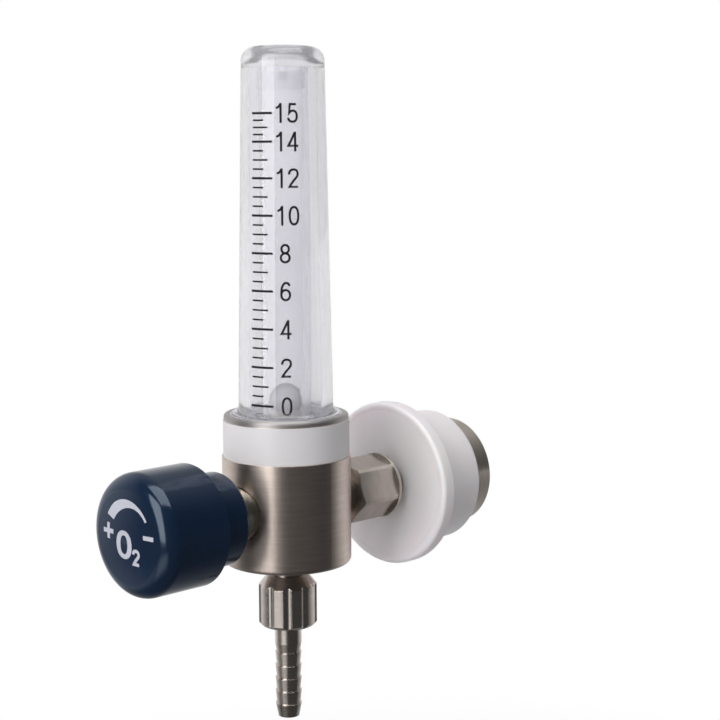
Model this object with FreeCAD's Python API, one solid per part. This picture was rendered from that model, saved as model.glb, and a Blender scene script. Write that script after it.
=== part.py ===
import FreeCAD, Part
import os
from math import asin, cos, degrees, radians, sin, sqrt, tan

# Oxygen flowmeter for a wall outlet, in millimetres.
# The block holds a clear metering tube on top, a needle valve with a knob in front,
# a wall probe behind and a hose barb below.
# The origin lies on the probe's axis, where the wall outlet's face meets the collar.
# +Z is up along the tube, +Y points into the wall, and the knob faces -Y.
# Each shape is made about the tube's axis, with the valve and the inlet on the Y axis,
# and the whole is moved to the origin last.

# Clearances
running_gap = 0.05        # radial, between parts that turn or slide
fitted_gap = 0.05         # radial, between parts that are screwed or pressed together
seal_gap = 0.02           # between a seal and its groove, and between faces that meet
spot_face_gap = 0.2       # radial, round a shoulder in its spot face
knob_gap = 0.6            # radial, between the knob and the bonnet

# Block
body_radius = 17.5
body_rise = 25.3          # from the valve axis to the block's top
body_drop = 15.6          # from the valve axis to the block's bottom
body_bottom_round = 1.2
body_top_round = 0.8
body_seat_radius = 16.9   # round the label and above it

# Label band
label_margin = 1.6        # from the block's top to the band
label_height = 9.9
label_thickness = 0.2

# Clear outer tube
outer_tube_height = 97.4  # above the block
outer_tube_top_radius = 11.05
outer_tube_foot_radius = 12.8
outer_tube_top_round = 3.8
outer_tube_end_wall = 3.0
cavity_top_radius = 8.8
cavity_foot_radius = 9.75
cavity_flat_radius = 3.2
cavity_dome_height = 2.6
foot_flange_radius = 14.8
foot_flange_stand = 0.3   # above the block's top
foot_flange_depth = 1.4   # below the block's top
tube_spigot_radius = 12.9
tube_spigot_length = 8.2
tube_floor_gap = 0.2
tube_seal_section = 1.7
tube_seal_drop = 3.4      # from the foot flange's seat to the middle of its seal

# Metering tube
metering_radius = 6.6
metering_tip_radius = 5.6
metering_tip_length = 4.5
metering_flange_radius = 7.5
metering_flange_height = 2.0
metering_flange_edge = 0.4
metering_spigot_length = 5.9
metering_floor_gap = 0.5
bore_foot_radius = 4.62
bore_top_radius = 5.04
metering_seal_section = 1.4

# Float and its seat
ball_radius = 4.55
ball_rest_rise = 3.6      # from the block's top to the middle of the resting ball
ball_rest_gap = 0.01
seat_throat_radius = 2.7
seat_contact_radius = 3.2
seat_height = 5.0
seat_lip = 0.4

# Cap on the metering tube
cap_radius = 6.95
cap_height = 7.3
cap_edge = 1.0
cap_ledge = 0.65          # width of the cap's ledge over the metering tube's tip
cap_window_height = 1.9
cap_slots = 4
cap_slot_width = 2.2
stop_pin_radius = 1.3
stop_pin_length = 4.5
stop_pin_edge = 0.3
top_washer_bore = 1.2
top_washer_radius = 3.0
top_washer_height = 0.8

# Gas passages in the block
return_hole_radius = 0.9
riser_offset = 4.6        # from the tube's axis, towards the inlet
riser_radius = 1.3
inlet_passage_radius = 2.0
outlet_passage_radius = 1.6
outlet_passage_offset = 1.2   # from the tube's axis, towards the valve

# Inlet nipple and union
nipple_radius = 6.2
nipple_show = 3.4         # from the block to the union nut
nipple_thread_radius = 5.15
nipple_thread_length = 7.8
thread_edge = 0.6
union_washer_height = 0.8
nut_across_flats = 16.2
nut_corner_radius = 9.05  # of the round bar that the flats are milled on
nut_length = 15.2
nut_turn = 46.5           # degrees from +X to the first corner
nut_chamfer_angle = 30.0
nut_face_share = 0.98     # of the flats' width, for the round face at the front
nut_flange_radius = 9.25
nut_flange_length = 1.3
nut_flange_edge = 0.3
nut_lip = 1.5

# Tailpiece and collar
tail_flange_height = 1.4
tail_stem_radius = 4.6
clip_radius = 5.9
clip_height = 0.9
clip_groove = 0.5
clip_mouth = 1.6
collar_gap = 2.0          # from the union nut to the collar's rim
collar_rim_radius = 23.45
collar_rim_width = 4.7
collar_rim_round = 0.9
collar_ridge_width = 1.3
collar_ridge_height = 0.35
collar_ridge_bow = 0.25     # how deep the ridge's curve lies half way, as a share
collar_dish = 1.7
collar_dish_bow = 0.6      # how far the dish has risen half way out, as a share
collar_boss_edge = 0.8
collar_web = 4.4
collar_hub_radius = 18.97
collar_hub_length = 15.6
collar_hub_round = 0.9
collar_hub_fillet = 0.8
collar_cavity_radius = 13.2

# Probe bell and nose
bell_radius = 15.64
bell_sleeve_radius = 15.2
bell_sleeve_length = 6.4
bell_stand = 8.6          # from the collar's rear face to the bell's end
bell_wall = 1.9
bell_floor = 2.6
bell_edge = 0.4
nose_radius = 6.5
nose_length = 11.0
nose_edge = 0.9
nose_thread_length = 4.4
nose_thread_gap = 0.2
nose_seal_section = 1.6
nose_seal_back = 2.6      # from the nose's end to the middle of its seal
nose_seal_stand = 0.3     # how far the seal stands out of the nose
filter_radius = 4.0
filter_length = 3.0
filter_ring_height = 1.0
filter_ring_bore = 2.6

# Needle valve
valve_chamber_room = 2.25     # from the return hole to the seat
valve_seat_radius = 3.0
valve_seat_length = 2.0
valve_throat_radius = 1.0
valve_seat_cone = 0.6
needle_half_angle = 20.0
needle_tip_radius = 0.4
needle_root_radius = 2.0
needle_gap = 0.03
chamber_radius = 4.4
bonnet_thread_radius = 6.0
bonnet_thread_room = 0.45     # from the bonnet's thread to the return hole
bonnet_shoulder_radius = 7.2
bonnet_stand = 0.9        # from the block's front to the bonnet's head
bonnet_head_radius = 7.9
bonnet_head_length = 10.2
bonnet_edge = 0.35
bonnet_seal_section = 1.2
bonnet_seal_back = 1.75   # from the bonnet's shoulder to the middle of its seal
spindle_radius = 3.0
spindle_groove_depth = 0.9
spindle_seal_back = 3.6   # from the back of the bonnet's head to the middle of the seal
stem_tip_radius = 2.2

# Knob
knob_radius = 16.1
knob_length = 21.0
knob_round = 4.6
knob_face_curve = 120.0   # radius of the bulge of the knob's face
knob_edge = 0.5
knob_neck_radius = 12.5
knob_neck_length = 9.5
knob_neck_round = 0.9
knob_core_radius = 13.3
knob_core_edge = 0.5
knob_lip_width = 1.6      # how much of the core shows behind the cap
knob_lip_edge = 0.3
knob_hang = 5.6           # from the bonnet's shoulder to the knob's neck
knob_recess_depth = 6.4
knob_hub_length = 11.6
knob_pocket_gap = 0.4     # radial, round the screw's head
knob_cap_wall = 3.2       # at the middle of the face
knob_screw_head_radius = 2.9
knob_screw_head_height = 2.4
knob_screw_head_edge = 0.3
knob_screw_radius = 1.25
knob_screw_length = 6.3
screw_hole_spare = 0.5
screw_socket_across_flats = 2.0
screw_socket_depth = 1.3
stem_tip_gap = 0.2        # from the spindle's end to the screw's head

# Outlet
stud_thread_radius = 5.0
stud_upper_length = 7.6
stud_collar_radius = 5.6
stud_collar_height = 1.4
stud_length = 13.2        # below the block
stud_edge = 0.5
stud_spigot_bore = 3.0
stud_spigot_depth = 5.4
stud_mouth_edge = 0.2
outlet_nut_gap = 3.6      # from the block to the nut
outlet_nut_radius = 8.0
outlet_nut_length = 14.3
outlet_nut_neck = 0.5     # width of the face at the nut's top
outlet_nut_cone = 3.1
outlet_nut_edge = 0.9
outlet_nut_lip = 2.0
flute_count = 10
flute_angle = 16.4        # degrees taken by one flute at the nut's surface
flute_depth = 0.55
first_flute_angle = -43.0     # degrees from +X to the middle of a flute

# Hose barb
barb_neck_radius = 3.9
barb_neck_show = 0.2
barb_shank_radius = 3.7
barb_shank_length = 5.1   # below the nut
barb_collar_radius = 4.75
barb_spigot_radius = 2.9
barb_spigot_length = 4.8
barb_spigot_edge = 0.3
barb_bore_radius = 1.7
barb_count = 5
barb_lead = 2.7           # from the shank to the first barb
barb_pitch = 3.65
barb_peak_radius = 3.62
barb_valley_radius = 3.22
barb_tip_radius = 2.9
barb_seal_section = 1.0

# A groove is a little longer than its seal is thick
groove_room = 1.24

# Heights that follow, above the valve axis
body_top_z = body_rise
body_bottom_z = -body_drop
label_top_z = body_top_z - label_margin
label_bottom_z = label_top_z - label_height
foot_flange_top_z = body_top_z + foot_flange_stand
foot_flange_seat_z = body_top_z - foot_flange_depth
outer_tube_top_z = body_top_z + outer_tube_height
cavity_top_z = outer_tube_top_z - outer_tube_end_wall
spigot_end_z = foot_flange_seat_z - tube_spigot_length
tube_floor_z = spigot_end_z - tube_floor_gap
metering_foot_z = tube_floor_z - metering_spigot_length
metering_seal_z = tube_floor_z - metering_spigot_length / 2
cap_top_z = cavity_top_z - top_washer_height
metering_shoulder_z = cap_top_z - cap_height
metering_tip_z = metering_shoulder_z + metering_tip_length
cap_ceiling_z = metering_tip_z + seal_gap + cap_window_height
stop_pin_z = cap_ceiling_z - stop_pin_length
ball_rest_z = body_top_z + ball_rest_rise
seat_ledge_z = ball_rest_z - sqrt(ball_radius ** 2 - seat_contact_radius ** 2) - ball_rest_gap
outlet_nut_top_z = body_bottom_z - outlet_nut_gap
outlet_nut_bottom_z = outlet_nut_top_z - outlet_nut_length
outlet_nut_lip_z = outlet_nut_bottom_z + outlet_nut_lip
stud_end_z = body_bottom_z - stud_length
barb_collar_top_z = stud_end_z - seal_gap
barb_seal_z = barb_collar_top_z + barb_spigot_length / 2
barb_shank_end_z = outlet_nut_bottom_z - barb_shank_length
barb_first_z = barb_shank_end_z - barb_lead

# Places that follow on the inlet's side, from the tube's axis
inlet_face_y = sqrt(body_radius ** 2 - (nipple_radius + spot_face_gap) ** 2)
nut_front_y = body_radius + nipple_show
nut_rear_y = nut_front_y + nut_length
tail_flange_end_y = nut_rear_y - nut_lip - seal_gap
tail_flange_y = tail_flange_end_y - tail_flange_height
nipple_end_y = tail_flange_y - union_washer_height
collar_front_y = nut_rear_y + collar_gap
collar_web_y = collar_front_y + collar_dish
collar_web_end_y = collar_web_y + collar_web
clip_y = collar_web_y - clip_height
wall_face_y = collar_front_y + collar_rim_width + collar_hub_length
bell_floor_y = wall_face_y - bell_sleeve_length
bell_end_y = wall_face_y + bell_stand
nose_seat_y = bell_floor_y + bell_floor
nose_end_y = nose_seat_y + nose_length
tail_stem_end_y = nose_seat_y + nose_thread_length

# Places that follow on the valve's side
return_hole_y = -(metering_flange_radius + cavity_foot_radius) / 2
valve_seat_y = return_hole_y + return_hole_radius + valve_chamber_room
bonnet_thread_end_y = return_hole_y - return_hole_radius - bonnet_thread_room
bonnet_face_y = -sqrt(body_radius ** 2 - (bonnet_shoulder_radius + spot_face_gap) ** 2)
bonnet_shoulder_y = -body_radius - bonnet_stand
bonnet_head_end_y = bonnet_shoulder_y - bonnet_head_length
spindle_seal_y = bonnet_shoulder_y - spindle_seal_back
knob_neck_end_y = bonnet_shoulder_y - knob_hang
knob_rear_y = knob_neck_end_y - knob_neck_length
knob_face_y = knob_rear_y - knob_length
knob_recess_end_y = knob_neck_end_y - knob_recess_depth
knob_web_y = knob_recess_end_y - knob_hub_length
knob_core_face_y = knob_face_y + knob_cap_wall
stem_end_y = knob_web_y + stem_tip_gap


def point(radius, along):
    return FreeCAD.Vector(radius, 0, along)


def revolved(profile):
    """A solid turned about Z from a closed outline of (radius, height) points."""
    wire = Part.makePolygon([point(*p) for p in profile + profile[:1]])
    return Part.Face(wire).revolve(FreeCAD.Vector(), FreeCAD.Vector(0, 0, 1), 360)


def turned(*edges):
    """A solid turned about Z from edges that close an outline in the XZ plane."""
    wire = Part.Wire(Part.__sortEdges__(list(edges)))
    return Part.Face(wire).revolve(FreeCAD.Vector(), FreeCAD.Vector(0, 0, 1), 360)


def line(a, b):
    return Part.LineSegment(point(*a), point(*b)).toShape()


def arc(a, middle, b):
    return Part.Arc(point(*a), point(*middle), point(*b)).toShape()


def bend(centre, radius, start, end):
    """A round corner about a centre, from one angle to another in degrees."""
    def at(angle):
        return (centre[0] + radius * cos(radians(angle)), centre[1] + radius * sin(radians(angle)))
    return arc(at(start), at((start + end) / 2), at(end))


def rod(radius, low, high):
    return Part.makeCylinder(radius, high - low, FreeCAD.Vector(0, 0, low))


def ring(outer, inner, low, high):
    return rod(outer, low, high).cut(rod(inner, low - 1, high + 1))


def seal_ring(middle_radius, section_radius, along):
    return Part.makeTorus(middle_radius, section_radius, FreeCAD.Vector(0, 0, along))


def along_y(shape):
    """Lays a shape made about Z on the valve axis, with +Z turned to +Y."""
    return shape.rotated(FreeCAD.Vector(), FreeCAD.Vector(1, 0, 0), -90)


def hexagon(across_flats, low, high, first_corner):
    corner = across_flats / 2 / cos(radians(30))
    angles = [radians(first_corner + 60 * i) for i in range(7)]
    points = [FreeCAD.Vector(corner * cos(a), corner * sin(a), low) for a in angles]
    return Part.Face(Part.makePolygon(points)).extrude(FreeCAD.Vector(0, 0, high - low))


def groove_sizes(bore, section):
    """The floor, middle and section radius of a seal on a shaft that fits a bore."""
    floor = bore - section
    return floor, floor + section / 2, section / 2 - seal_gap / 2


# Block

def make_body():
    outline = [
        line((0, body_bottom_z), (body_radius - body_bottom_round, body_bottom_z)),
        bend((body_radius - body_bottom_round, body_bottom_z + body_bottom_round),
             body_bottom_round, -90, 0),
        line((body_radius, body_bottom_z + body_bottom_round), (body_radius, label_bottom_z)),
        line((body_radius, label_bottom_z), (body_seat_radius, label_bottom_z)),
        line((body_seat_radius, label_bottom_z), (body_seat_radius, body_top_z - body_top_round)),
        bend((body_seat_radius - body_top_round, body_top_z - body_top_round), body_top_round, 0, 90),
        line((body_seat_radius - body_top_round, body_top_z), (0, body_top_z)),
        line((0, body_top_z), (0, body_bottom_z)),
    ]
    body = turned(*outline)
    for cutter in tube_sockets() + inlet_bores() + valve_bores() + outlet_bores():
        body = body.cut(cutter)
    return body


def tube_sockets():
    return [
        rod(foot_flange_radius + fitted_gap, foot_flange_seat_z, body_top_z + 1),
        rod(tube_spigot_radius + fitted_gap, tube_floor_z, body_top_z),
        rod(metering_radius + fitted_gap, metering_foot_z - metering_floor_gap, body_top_z),
        Part.makeCylinder(return_hole_radius, tube_floor_z + 1, FreeCAD.Vector(0, return_hole_y, 0)),
        Part.makeCylinder(riser_radius, metering_foot_z, FreeCAD.Vector(0, riser_offset, 0)),
    ]


def inlet_bores():
    thread_start = inlet_face_y - nipple_thread_length - spot_face_gap
    return [
        along_y(rod(nipple_radius + spot_face_gap, inlet_face_y, body_radius + 1)),
        along_y(rod(nipple_thread_radius + fitted_gap, thread_start, body_radius)),
        along_y(rod(inlet_passage_radius, riser_offset - riser_radius, body_radius)),
    ]


def valve_bores():
    return [
        along_y(rod(bonnet_shoulder_radius + spot_face_gap, -body_radius - 1, bonnet_face_y)),
        along_y(rod(bonnet_thread_radius + fitted_gap, -body_radius, bonnet_thread_end_y)),
        along_y(rod(chamber_radius, bonnet_thread_end_y - 1, valve_seat_y)),
        along_y(rod(valve_seat_radius, valve_seat_y - 1, valve_seat_y + valve_seat_length)),
        along_y(rod(outlet_passage_radius, valve_seat_y, outlet_passage_radius - outlet_passage_offset)),
    ]


def outlet_bores():
    thread_end = body_bottom_z + stud_upper_length + spot_face_gap
    passage = FreeCAD.Vector(0, -outlet_passage_offset, body_bottom_z)
    return [
        rod(stud_thread_radius + fitted_gap, body_bottom_z - 1, thread_end),
        Part.makeCylinder(outlet_passage_radius, -body_bottom_z, passage),
    ]


def make_label_band():
    outer = body_seat_radius + label_thickness
    return ring(outer, body_seat_radius, label_bottom_z + seal_gap, label_top_z)


# Clear tubes and float

def make_outer_tube():
    flare = foot_flange_radius - outer_tube_foot_radius
    flare_z = foot_flange_top_z + flare
    flare_x = foot_flange_radius
    skin_z = outer_tube_top_z - outer_tube_top_round
    flat = outer_tube_top_radius - outer_tube_top_round
    dome_z = cavity_top_z - cavity_dome_height
    dome_width = cavity_top_radius - cavity_flat_radius
    dome_radius = (dome_width ** 2 + cavity_dome_height ** 2) / (2 * cavity_dome_height)
    dome_turn = 90 - degrees(asin(dome_width / dome_radius))
    outline = [
        line((0, outer_tube_top_z), (flat, outer_tube_top_z)),
        bend((flat, skin_z), outer_tube_top_round, 90, 0),
        line((outer_tube_top_radius, skin_z), (outer_tube_foot_radius, flare_z)),
        bend((flare_x, flare_z), flare, 180, 270),
        line((flare_x, foot_flange_top_z), (flare_x, foot_flange_seat_z)),
        line((flare_x, foot_flange_seat_z), (tube_spigot_radius, foot_flange_seat_z)),
        line((tube_spigot_radius, foot_flange_seat_z), (tube_spigot_radius, spigot_end_z)),
        line((tube_spigot_radius, spigot_end_z), (cavity_foot_radius, spigot_end_z)),
        line((cavity_foot_radius, spigot_end_z), (cavity_foot_radius, foot_flange_top_z)),
        line((cavity_foot_radius, foot_flange_top_z), (cavity_top_radius, dome_z)),
        bend((cavity_flat_radius, cavity_top_z - dome_radius), dome_radius, dome_turn, 90),
        line((cavity_flat_radius, cavity_top_z), (0, cavity_top_z)),
        line((0, cavity_top_z), (0, outer_tube_top_z)),
    ]
    tube = turned(*outline)
    floor, middle, section = groove_sizes(tube_spigot_radius + fitted_gap, tube_seal_section)
    low, high = tube_seal_span()
    return tube.cut(ring(tube_spigot_radius + 1, floor, low, high))


def tube_seal_span():
    middle_z = foot_flange_seat_z - tube_seal_drop
    half = tube_seal_section * groove_room / 2
    return middle_z - half, middle_z + half


def make_outer_tube_o_ring():
    floor, middle, section = groove_sizes(tube_spigot_radius + fitted_gap, tube_seal_section)
    return seal_ring(middle, section, foot_flange_seat_z - tube_seal_drop)


def make_metering_tube():
    seat_floor_z = seat_ledge_z - seat_height
    half = metering_seal_section * groove_room / 2
    floor, middle, section = groove_sizes(metering_radius + fitted_gap, metering_seal_section)
    flange_top = tube_floor_z + metering_flange_height
    profile = [
        (seat_throat_radius, metering_foot_z), (metering_radius, metering_foot_z),
        (metering_radius, metering_seal_z - half), (floor, metering_seal_z - half),
        (floor, metering_seal_z + half), (metering_radius, metering_seal_z + half),
        (metering_radius, tube_floor_z), (metering_flange_radius, tube_floor_z),
        (metering_flange_radius, flange_top - metering_flange_edge),
        (metering_flange_radius - metering_flange_edge, flange_top),
        (metering_radius, flange_top), (metering_radius, metering_shoulder_z),
        (metering_tip_radius, metering_shoulder_z), (metering_tip_radius, metering_tip_z),
        (bore_top_radius, metering_tip_z), (bore_foot_radius, seat_ledge_z),
        (bore_foot_radius, seat_floor_z), (seat_throat_radius, seat_floor_z),
    ]
    return revolved(profile)


def make_metering_tube_o_ring():
    floor, middle, section = groove_sizes(metering_radius + fitted_gap, metering_seal_section)
    return seal_ring(middle, section, metering_seal_z)


def make_tube_top_cap():
    inner = metering_tip_radius + fitted_gap
    room = inner - cap_ledge
    rise = metering_tip_z + seal_gap
    profile = [
        (inner, metering_shoulder_z + seal_gap), (cap_radius, metering_shoulder_z + seal_gap),
        (cap_radius, cap_top_z - cap_edge), (cap_radius - cap_edge, cap_top_z),
        (0, cap_top_z), (0, stop_pin_z),
        (stop_pin_radius - stop_pin_edge, stop_pin_z), (stop_pin_radius, stop_pin_z + stop_pin_edge),
        (stop_pin_radius, cap_ceiling_z),
        (room, cap_ceiling_z), (room, rise), (inner, rise),
    ]
    cap = revolved(profile)
    for i in range(cap_slots):
        slot = Part.makeBox(cap_radius + 1, cap_slot_width, cap_ceiling_z - rise,
                            FreeCAD.Vector(stop_pin_radius + 1, -cap_slot_width / 2, rise))
        cap = cap.cut(slot.rotated(FreeCAD.Vector(), FreeCAD.Vector(0, 0, 1), 45 + 360 * i / cap_slots))
    return cap


def make_tube_top_washer():
    return ring(top_washer_radius, top_washer_bore, cap_top_z, cavity_top_z)


def make_float_ball():
    return Part.makeSphere(ball_radius, FreeCAD.Vector(0, 0, ball_rest_z))


def make_float_seat():
    """A ring whose cone touches the resting ball all round at the contact radius."""
    outer = bore_foot_radius - seal_gap
    slope = seat_contact_radius / sqrt(ball_radius ** 2 - seat_contact_radius ** 2)
    lip_z = seat_ledge_z + (outer - seat_lip - seat_contact_radius) * slope
    throat_z = seat_ledge_z - (seat_contact_radius - seat_throat_radius) * slope
    bottom_z = seat_ledge_z - seat_height
    profile = [
        (seat_throat_radius, bottom_z), (outer, bottom_z), (outer, lip_z),
        (outer - seat_lip, lip_z), (seat_throat_radius, throat_z),
    ]
    return revolved(profile)


# Inlet

def make_inlet_nipple():
    thread_y = inlet_face_y - nipple_thread_length
    profile = [
        (inlet_passage_radius, thread_y), (nipple_thread_radius - thread_edge, thread_y),
        (nipple_thread_radius, thread_y + thread_edge), (nipple_thread_radius, inlet_face_y),
        (nipple_radius, inlet_face_y), (nipple_radius, nipple_end_y - thread_edge),
        (nipple_radius - thread_edge, nipple_end_y), (inlet_passage_radius, nipple_end_y),
    ]
    return along_y(revolved(profile))


def make_union_washer():
    return along_y(ring(nipple_radius - thread_edge, inlet_passage_radius, nipple_end_y, tail_flange_y))


def make_union_nut():
    """A round bar with a cone in front, milled to a hexagon up to the flange at its rear."""
    shoulder_y = nut_rear_y - nut_flange_length
    face = nut_across_flats / 2 * nut_face_share
    drop = (nut_corner_radius - face) * tan(radians(nut_chamfer_angle))
    bar = revolved([
        (0, nut_front_y), (face, nut_front_y), (nut_corner_radius, nut_front_y + drop),
        (nut_corner_radius, shoulder_y), (0, shoulder_y),
    ])
    flange = revolved([
        (0, shoulder_y), (nut_flange_radius, shoulder_y),
        (nut_flange_radius, nut_rear_y - nut_flange_edge),
        (nut_flange_radius - nut_flange_edge, nut_rear_y), (0, nut_rear_y),
    ])
    flats = hexagon(nut_across_flats, nut_front_y, shoulder_y, -nut_turn)
    bore = rod(nipple_radius + fitted_gap, nut_front_y - 1, nut_rear_y - nut_lip)
    hole = rod(tail_stem_radius + fitted_gap, nut_front_y, nut_rear_y + 1)
    return along_y(bar.common(flats).fuse(flange).cut(bore).cut(hole))


def make_tailpiece():
    groove_radius = tail_stem_radius - clip_groove
    profile = [
        (inlet_passage_radius, tail_flange_y), (nipple_radius, tail_flange_y),
        (nipple_radius, tail_flange_end_y), (tail_stem_radius, tail_flange_end_y),
        (tail_stem_radius, clip_y), (groove_radius, clip_y),
        (groove_radius, collar_web_y), (tail_stem_radius, collar_web_y),
        (tail_stem_radius, tail_stem_end_y - thread_edge),
        (tail_stem_radius - thread_edge, tail_stem_end_y), (inlet_passage_radius, tail_stem_end_y),
    ]
    return along_y(revolved(profile))


def make_stem_clip():
    """An open spring ring that snaps into the stem's groove."""
    clip = ring(clip_radius, tail_stem_radius - clip_groove, clip_y, collar_web_y)
    corner = FreeCAD.Vector(-clip_mouth / 2, 0, clip_y - 1)
    return along_y(clip.cut(Part.makeBox(clip_mouth, clip_radius + 1, clip_height + 2, corner)))


def make_probe_collar():
    """A dished flange and a hollow hub, moulded in one piece."""
    front = collar_front_y
    rim_rear = front + collar_rim_width
    stem_hole = tail_stem_radius + fitted_gap
    boss = clip_radius + collar_boss_edge
    ridge_top = collar_rim_radius - collar_rim_round
    dish_edge = ridge_top - collar_ridge_width
    dish_y = front + collar_ridge_height
    dish_middle = ((boss + dish_edge) / 2, dish_y + (collar_web_y - dish_y) * collar_dish_bow)
    ridge_middle = (dish_edge + collar_ridge_width / 2, front + collar_ridge_height * collar_ridge_bow)
    bore = bell_sleeve_radius + fitted_gap
    fillet = collar_hub_fillet
    outline = [
        line((stem_hole, collar_web_end_y), (stem_hole, collar_web_y)),
        line((stem_hole, collar_web_y), (boss, collar_web_y)),
        arc((boss, collar_web_y), dish_middle, (dish_edge, dish_y)),
        arc((dish_edge, dish_y), ridge_middle, (ridge_top, front)),
        bend((ridge_top, front + collar_rim_round), collar_rim_round, -90, 0),
        line((collar_rim_radius, front + collar_rim_round),
             (collar_rim_radius, rim_rear - collar_rim_round)),
        bend((ridge_top, rim_rear - collar_rim_round), collar_rim_round, 0, 90),
        line((ridge_top, rim_rear), (collar_hub_radius + fillet, rim_rear)),
        bend((collar_hub_radius + fillet, rim_rear + fillet), fillet, 270, 180),
        line((collar_hub_radius, rim_rear + fillet), (collar_hub_radius, wall_face_y - collar_hub_round)),
        bend((collar_hub_radius - collar_hub_round, wall_face_y - collar_hub_round),
             collar_hub_round, 0, 90),
        line((collar_hub_radius - collar_hub_round, wall_face_y), (bore, wall_face_y)),
        line((bore, wall_face_y), (bore, bell_floor_y)),
        line((bore, bell_floor_y), (collar_cavity_radius, bell_floor_y)),
        line((collar_cavity_radius, bell_floor_y), (collar_cavity_radius, collar_web_end_y)),
        line((collar_cavity_radius, collar_web_end_y), (stem_hole, collar_web_end_y)),
    ]
    return along_y(turned(*outline))


def make_probe_bell():
    """A cup on the stem: its sleeve sits in the collar and its skirt stands out behind."""
    stem_hole = tail_stem_radius + fitted_gap
    inner = bell_radius - bell_wall
    profile = [
        (stem_hole, bell_floor_y), (bell_sleeve_radius, bell_floor_y),
        (bell_sleeve_radius, wall_face_y), (bell_radius, wall_face_y),
        (bell_radius, bell_end_y - bell_edge), (bell_radius - bell_edge, bell_end_y),
        (inner + bell_edge, bell_end_y), (inner, bell_end_y - bell_edge),
        (inner, nose_seat_y), (stem_hole, nose_seat_y),
    ]
    return along_y(revolved(profile))


def make_probe_nose():
    """The gas nose, screwed on the stem against the bell, with a seal and a filter pocket."""
    stem_hole = tail_stem_radius + fitted_gap
    thread_end = tail_stem_end_y + nose_thread_gap
    pocket = nose_end_y - filter_length - filter_ring_height
    half = nose_seal_section * groove_room / 2
    seal = nose_end_y - nose_seal_back
    floor, middle, section = groove_sizes(nose_radius + nose_seal_stand, nose_seal_section)
    profile = [
        (stem_hole, nose_seat_y), (nose_radius, nose_seat_y),
        (nose_radius, seal - half), (floor, seal - half), (floor, seal + half),
        (nose_radius, seal + half), (nose_radius, nose_end_y - nose_edge),
        (nose_radius - nose_edge, nose_end_y), (filter_radius + fitted_gap, nose_end_y),
        (filter_radius + fitted_gap, pocket), (inlet_passage_radius, pocket),
        (inlet_passage_radius, thread_end), (stem_hole, thread_end),
    ]
    return along_y(revolved(profile))


def make_nose_o_ring():
    floor, middle, section = groove_sizes(nose_radius + nose_seal_stand, nose_seal_section)
    return along_y(seal_ring(middle, section, nose_end_y - nose_seal_back))


def make_inlet_filter():
    low = nose_end_y - filter_length - filter_ring_height
    return along_y(rod(filter_radius, low, low + filter_length))


def make_filter_ring():
    return along_y(ring(filter_radius, filter_ring_bore, nose_end_y - filter_ring_height, nose_end_y))


# Needle valve

def make_valve_seat():
    """A ring whose throat opens in a cone towards the needle."""
    mouth = valve_throat_radius + valve_seat_cone
    rear_y = valve_seat_y + valve_seat_length
    profile = [
        (mouth, valve_seat_y), (valve_seat_radius, valve_seat_y), (valve_seat_radius, rear_y),
        (valve_throat_radius, rear_y), (valve_throat_radius, valve_seat_y + valve_seat_cone),
    ]
    return along_y(revolved(profile))


def make_valve_bonnet():
    half = bonnet_seal_section * groove_room / 2
    groove_low = bonnet_face_y + bonnet_seal_back - half
    groove_high = bonnet_face_y + bonnet_seal_back + half
    floor, middle, section = groove_sizes(bonnet_thread_radius + fitted_gap, bonnet_seal_section)
    bore = spindle_radius + running_gap
    profile = [
        (bore, bonnet_thread_end_y), (bonnet_thread_radius - thread_edge, bonnet_thread_end_y),
        (bonnet_thread_radius, bonnet_thread_end_y - thread_edge), (bonnet_thread_radius, groove_high),
        (floor, groove_high), (floor, groove_low), (bonnet_thread_radius, groove_low),
        (bonnet_thread_radius, bonnet_face_y), (bonnet_shoulder_radius, bonnet_face_y),
        (bonnet_shoulder_radius, bonnet_shoulder_y),
        (bonnet_head_radius - bonnet_edge, bonnet_shoulder_y),
        (bonnet_head_radius, bonnet_shoulder_y - bonnet_edge),
        (bonnet_head_radius, bonnet_head_end_y + bonnet_edge),
        (bonnet_head_radius - bonnet_edge, bonnet_head_end_y), (bore, bonnet_head_end_y),
    ]
    return along_y(revolved(profile))


def make_bonnet_o_ring():
    floor, middle, section = groove_sizes(bonnet_thread_radius + fitted_gap, bonnet_seal_section)
    return along_y(seal_ring(middle, section, bonnet_face_y + bonnet_seal_back))


def make_valve_spindle():
    """The needle's cone shuts on the rim of the seat's throat."""
    slope = tan(radians(needle_half_angle))
    throat_y = valve_seat_y + valve_seat_cone
    tip_y = throat_y + (valve_throat_radius - needle_tip_radius) / slope - needle_gap
    root_y = throat_y - (needle_root_radius - valve_throat_radius) / slope - needle_gap
    shoulder_y = root_y - (spindle_radius - needle_root_radius)
    groove = spindle_radius - spindle_groove_depth
    half = spindle_groove_depth * groove_room / 2
    screw_hole_y = knob_web_y + knob_screw_length + screw_hole_spare
    profile = [
        (0, tip_y), (needle_tip_radius, tip_y), (needle_root_radius, root_y),
        (spindle_radius, shoulder_y), (spindle_radius, spindle_seal_y + half),
        (groove, spindle_seal_y + half), (groove, spindle_seal_y - half),
        (spindle_radius, spindle_seal_y - half), (spindle_radius, knob_recess_end_y),
        (stem_tip_radius, knob_recess_end_y), (stem_tip_radius, stem_end_y),
        (knob_screw_radius, stem_end_y), (knob_screw_radius, screw_hole_y), (0, screw_hole_y),
    ]
    return along_y(revolved(profile))


def make_spindle_o_ring():
    floor = spindle_radius - spindle_groove_depth
    room = spindle_groove_depth + running_gap
    section = room / 2 - seal_gap
    return along_y(seal_ring(floor + room / 2, section, spindle_seal_y))


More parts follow.
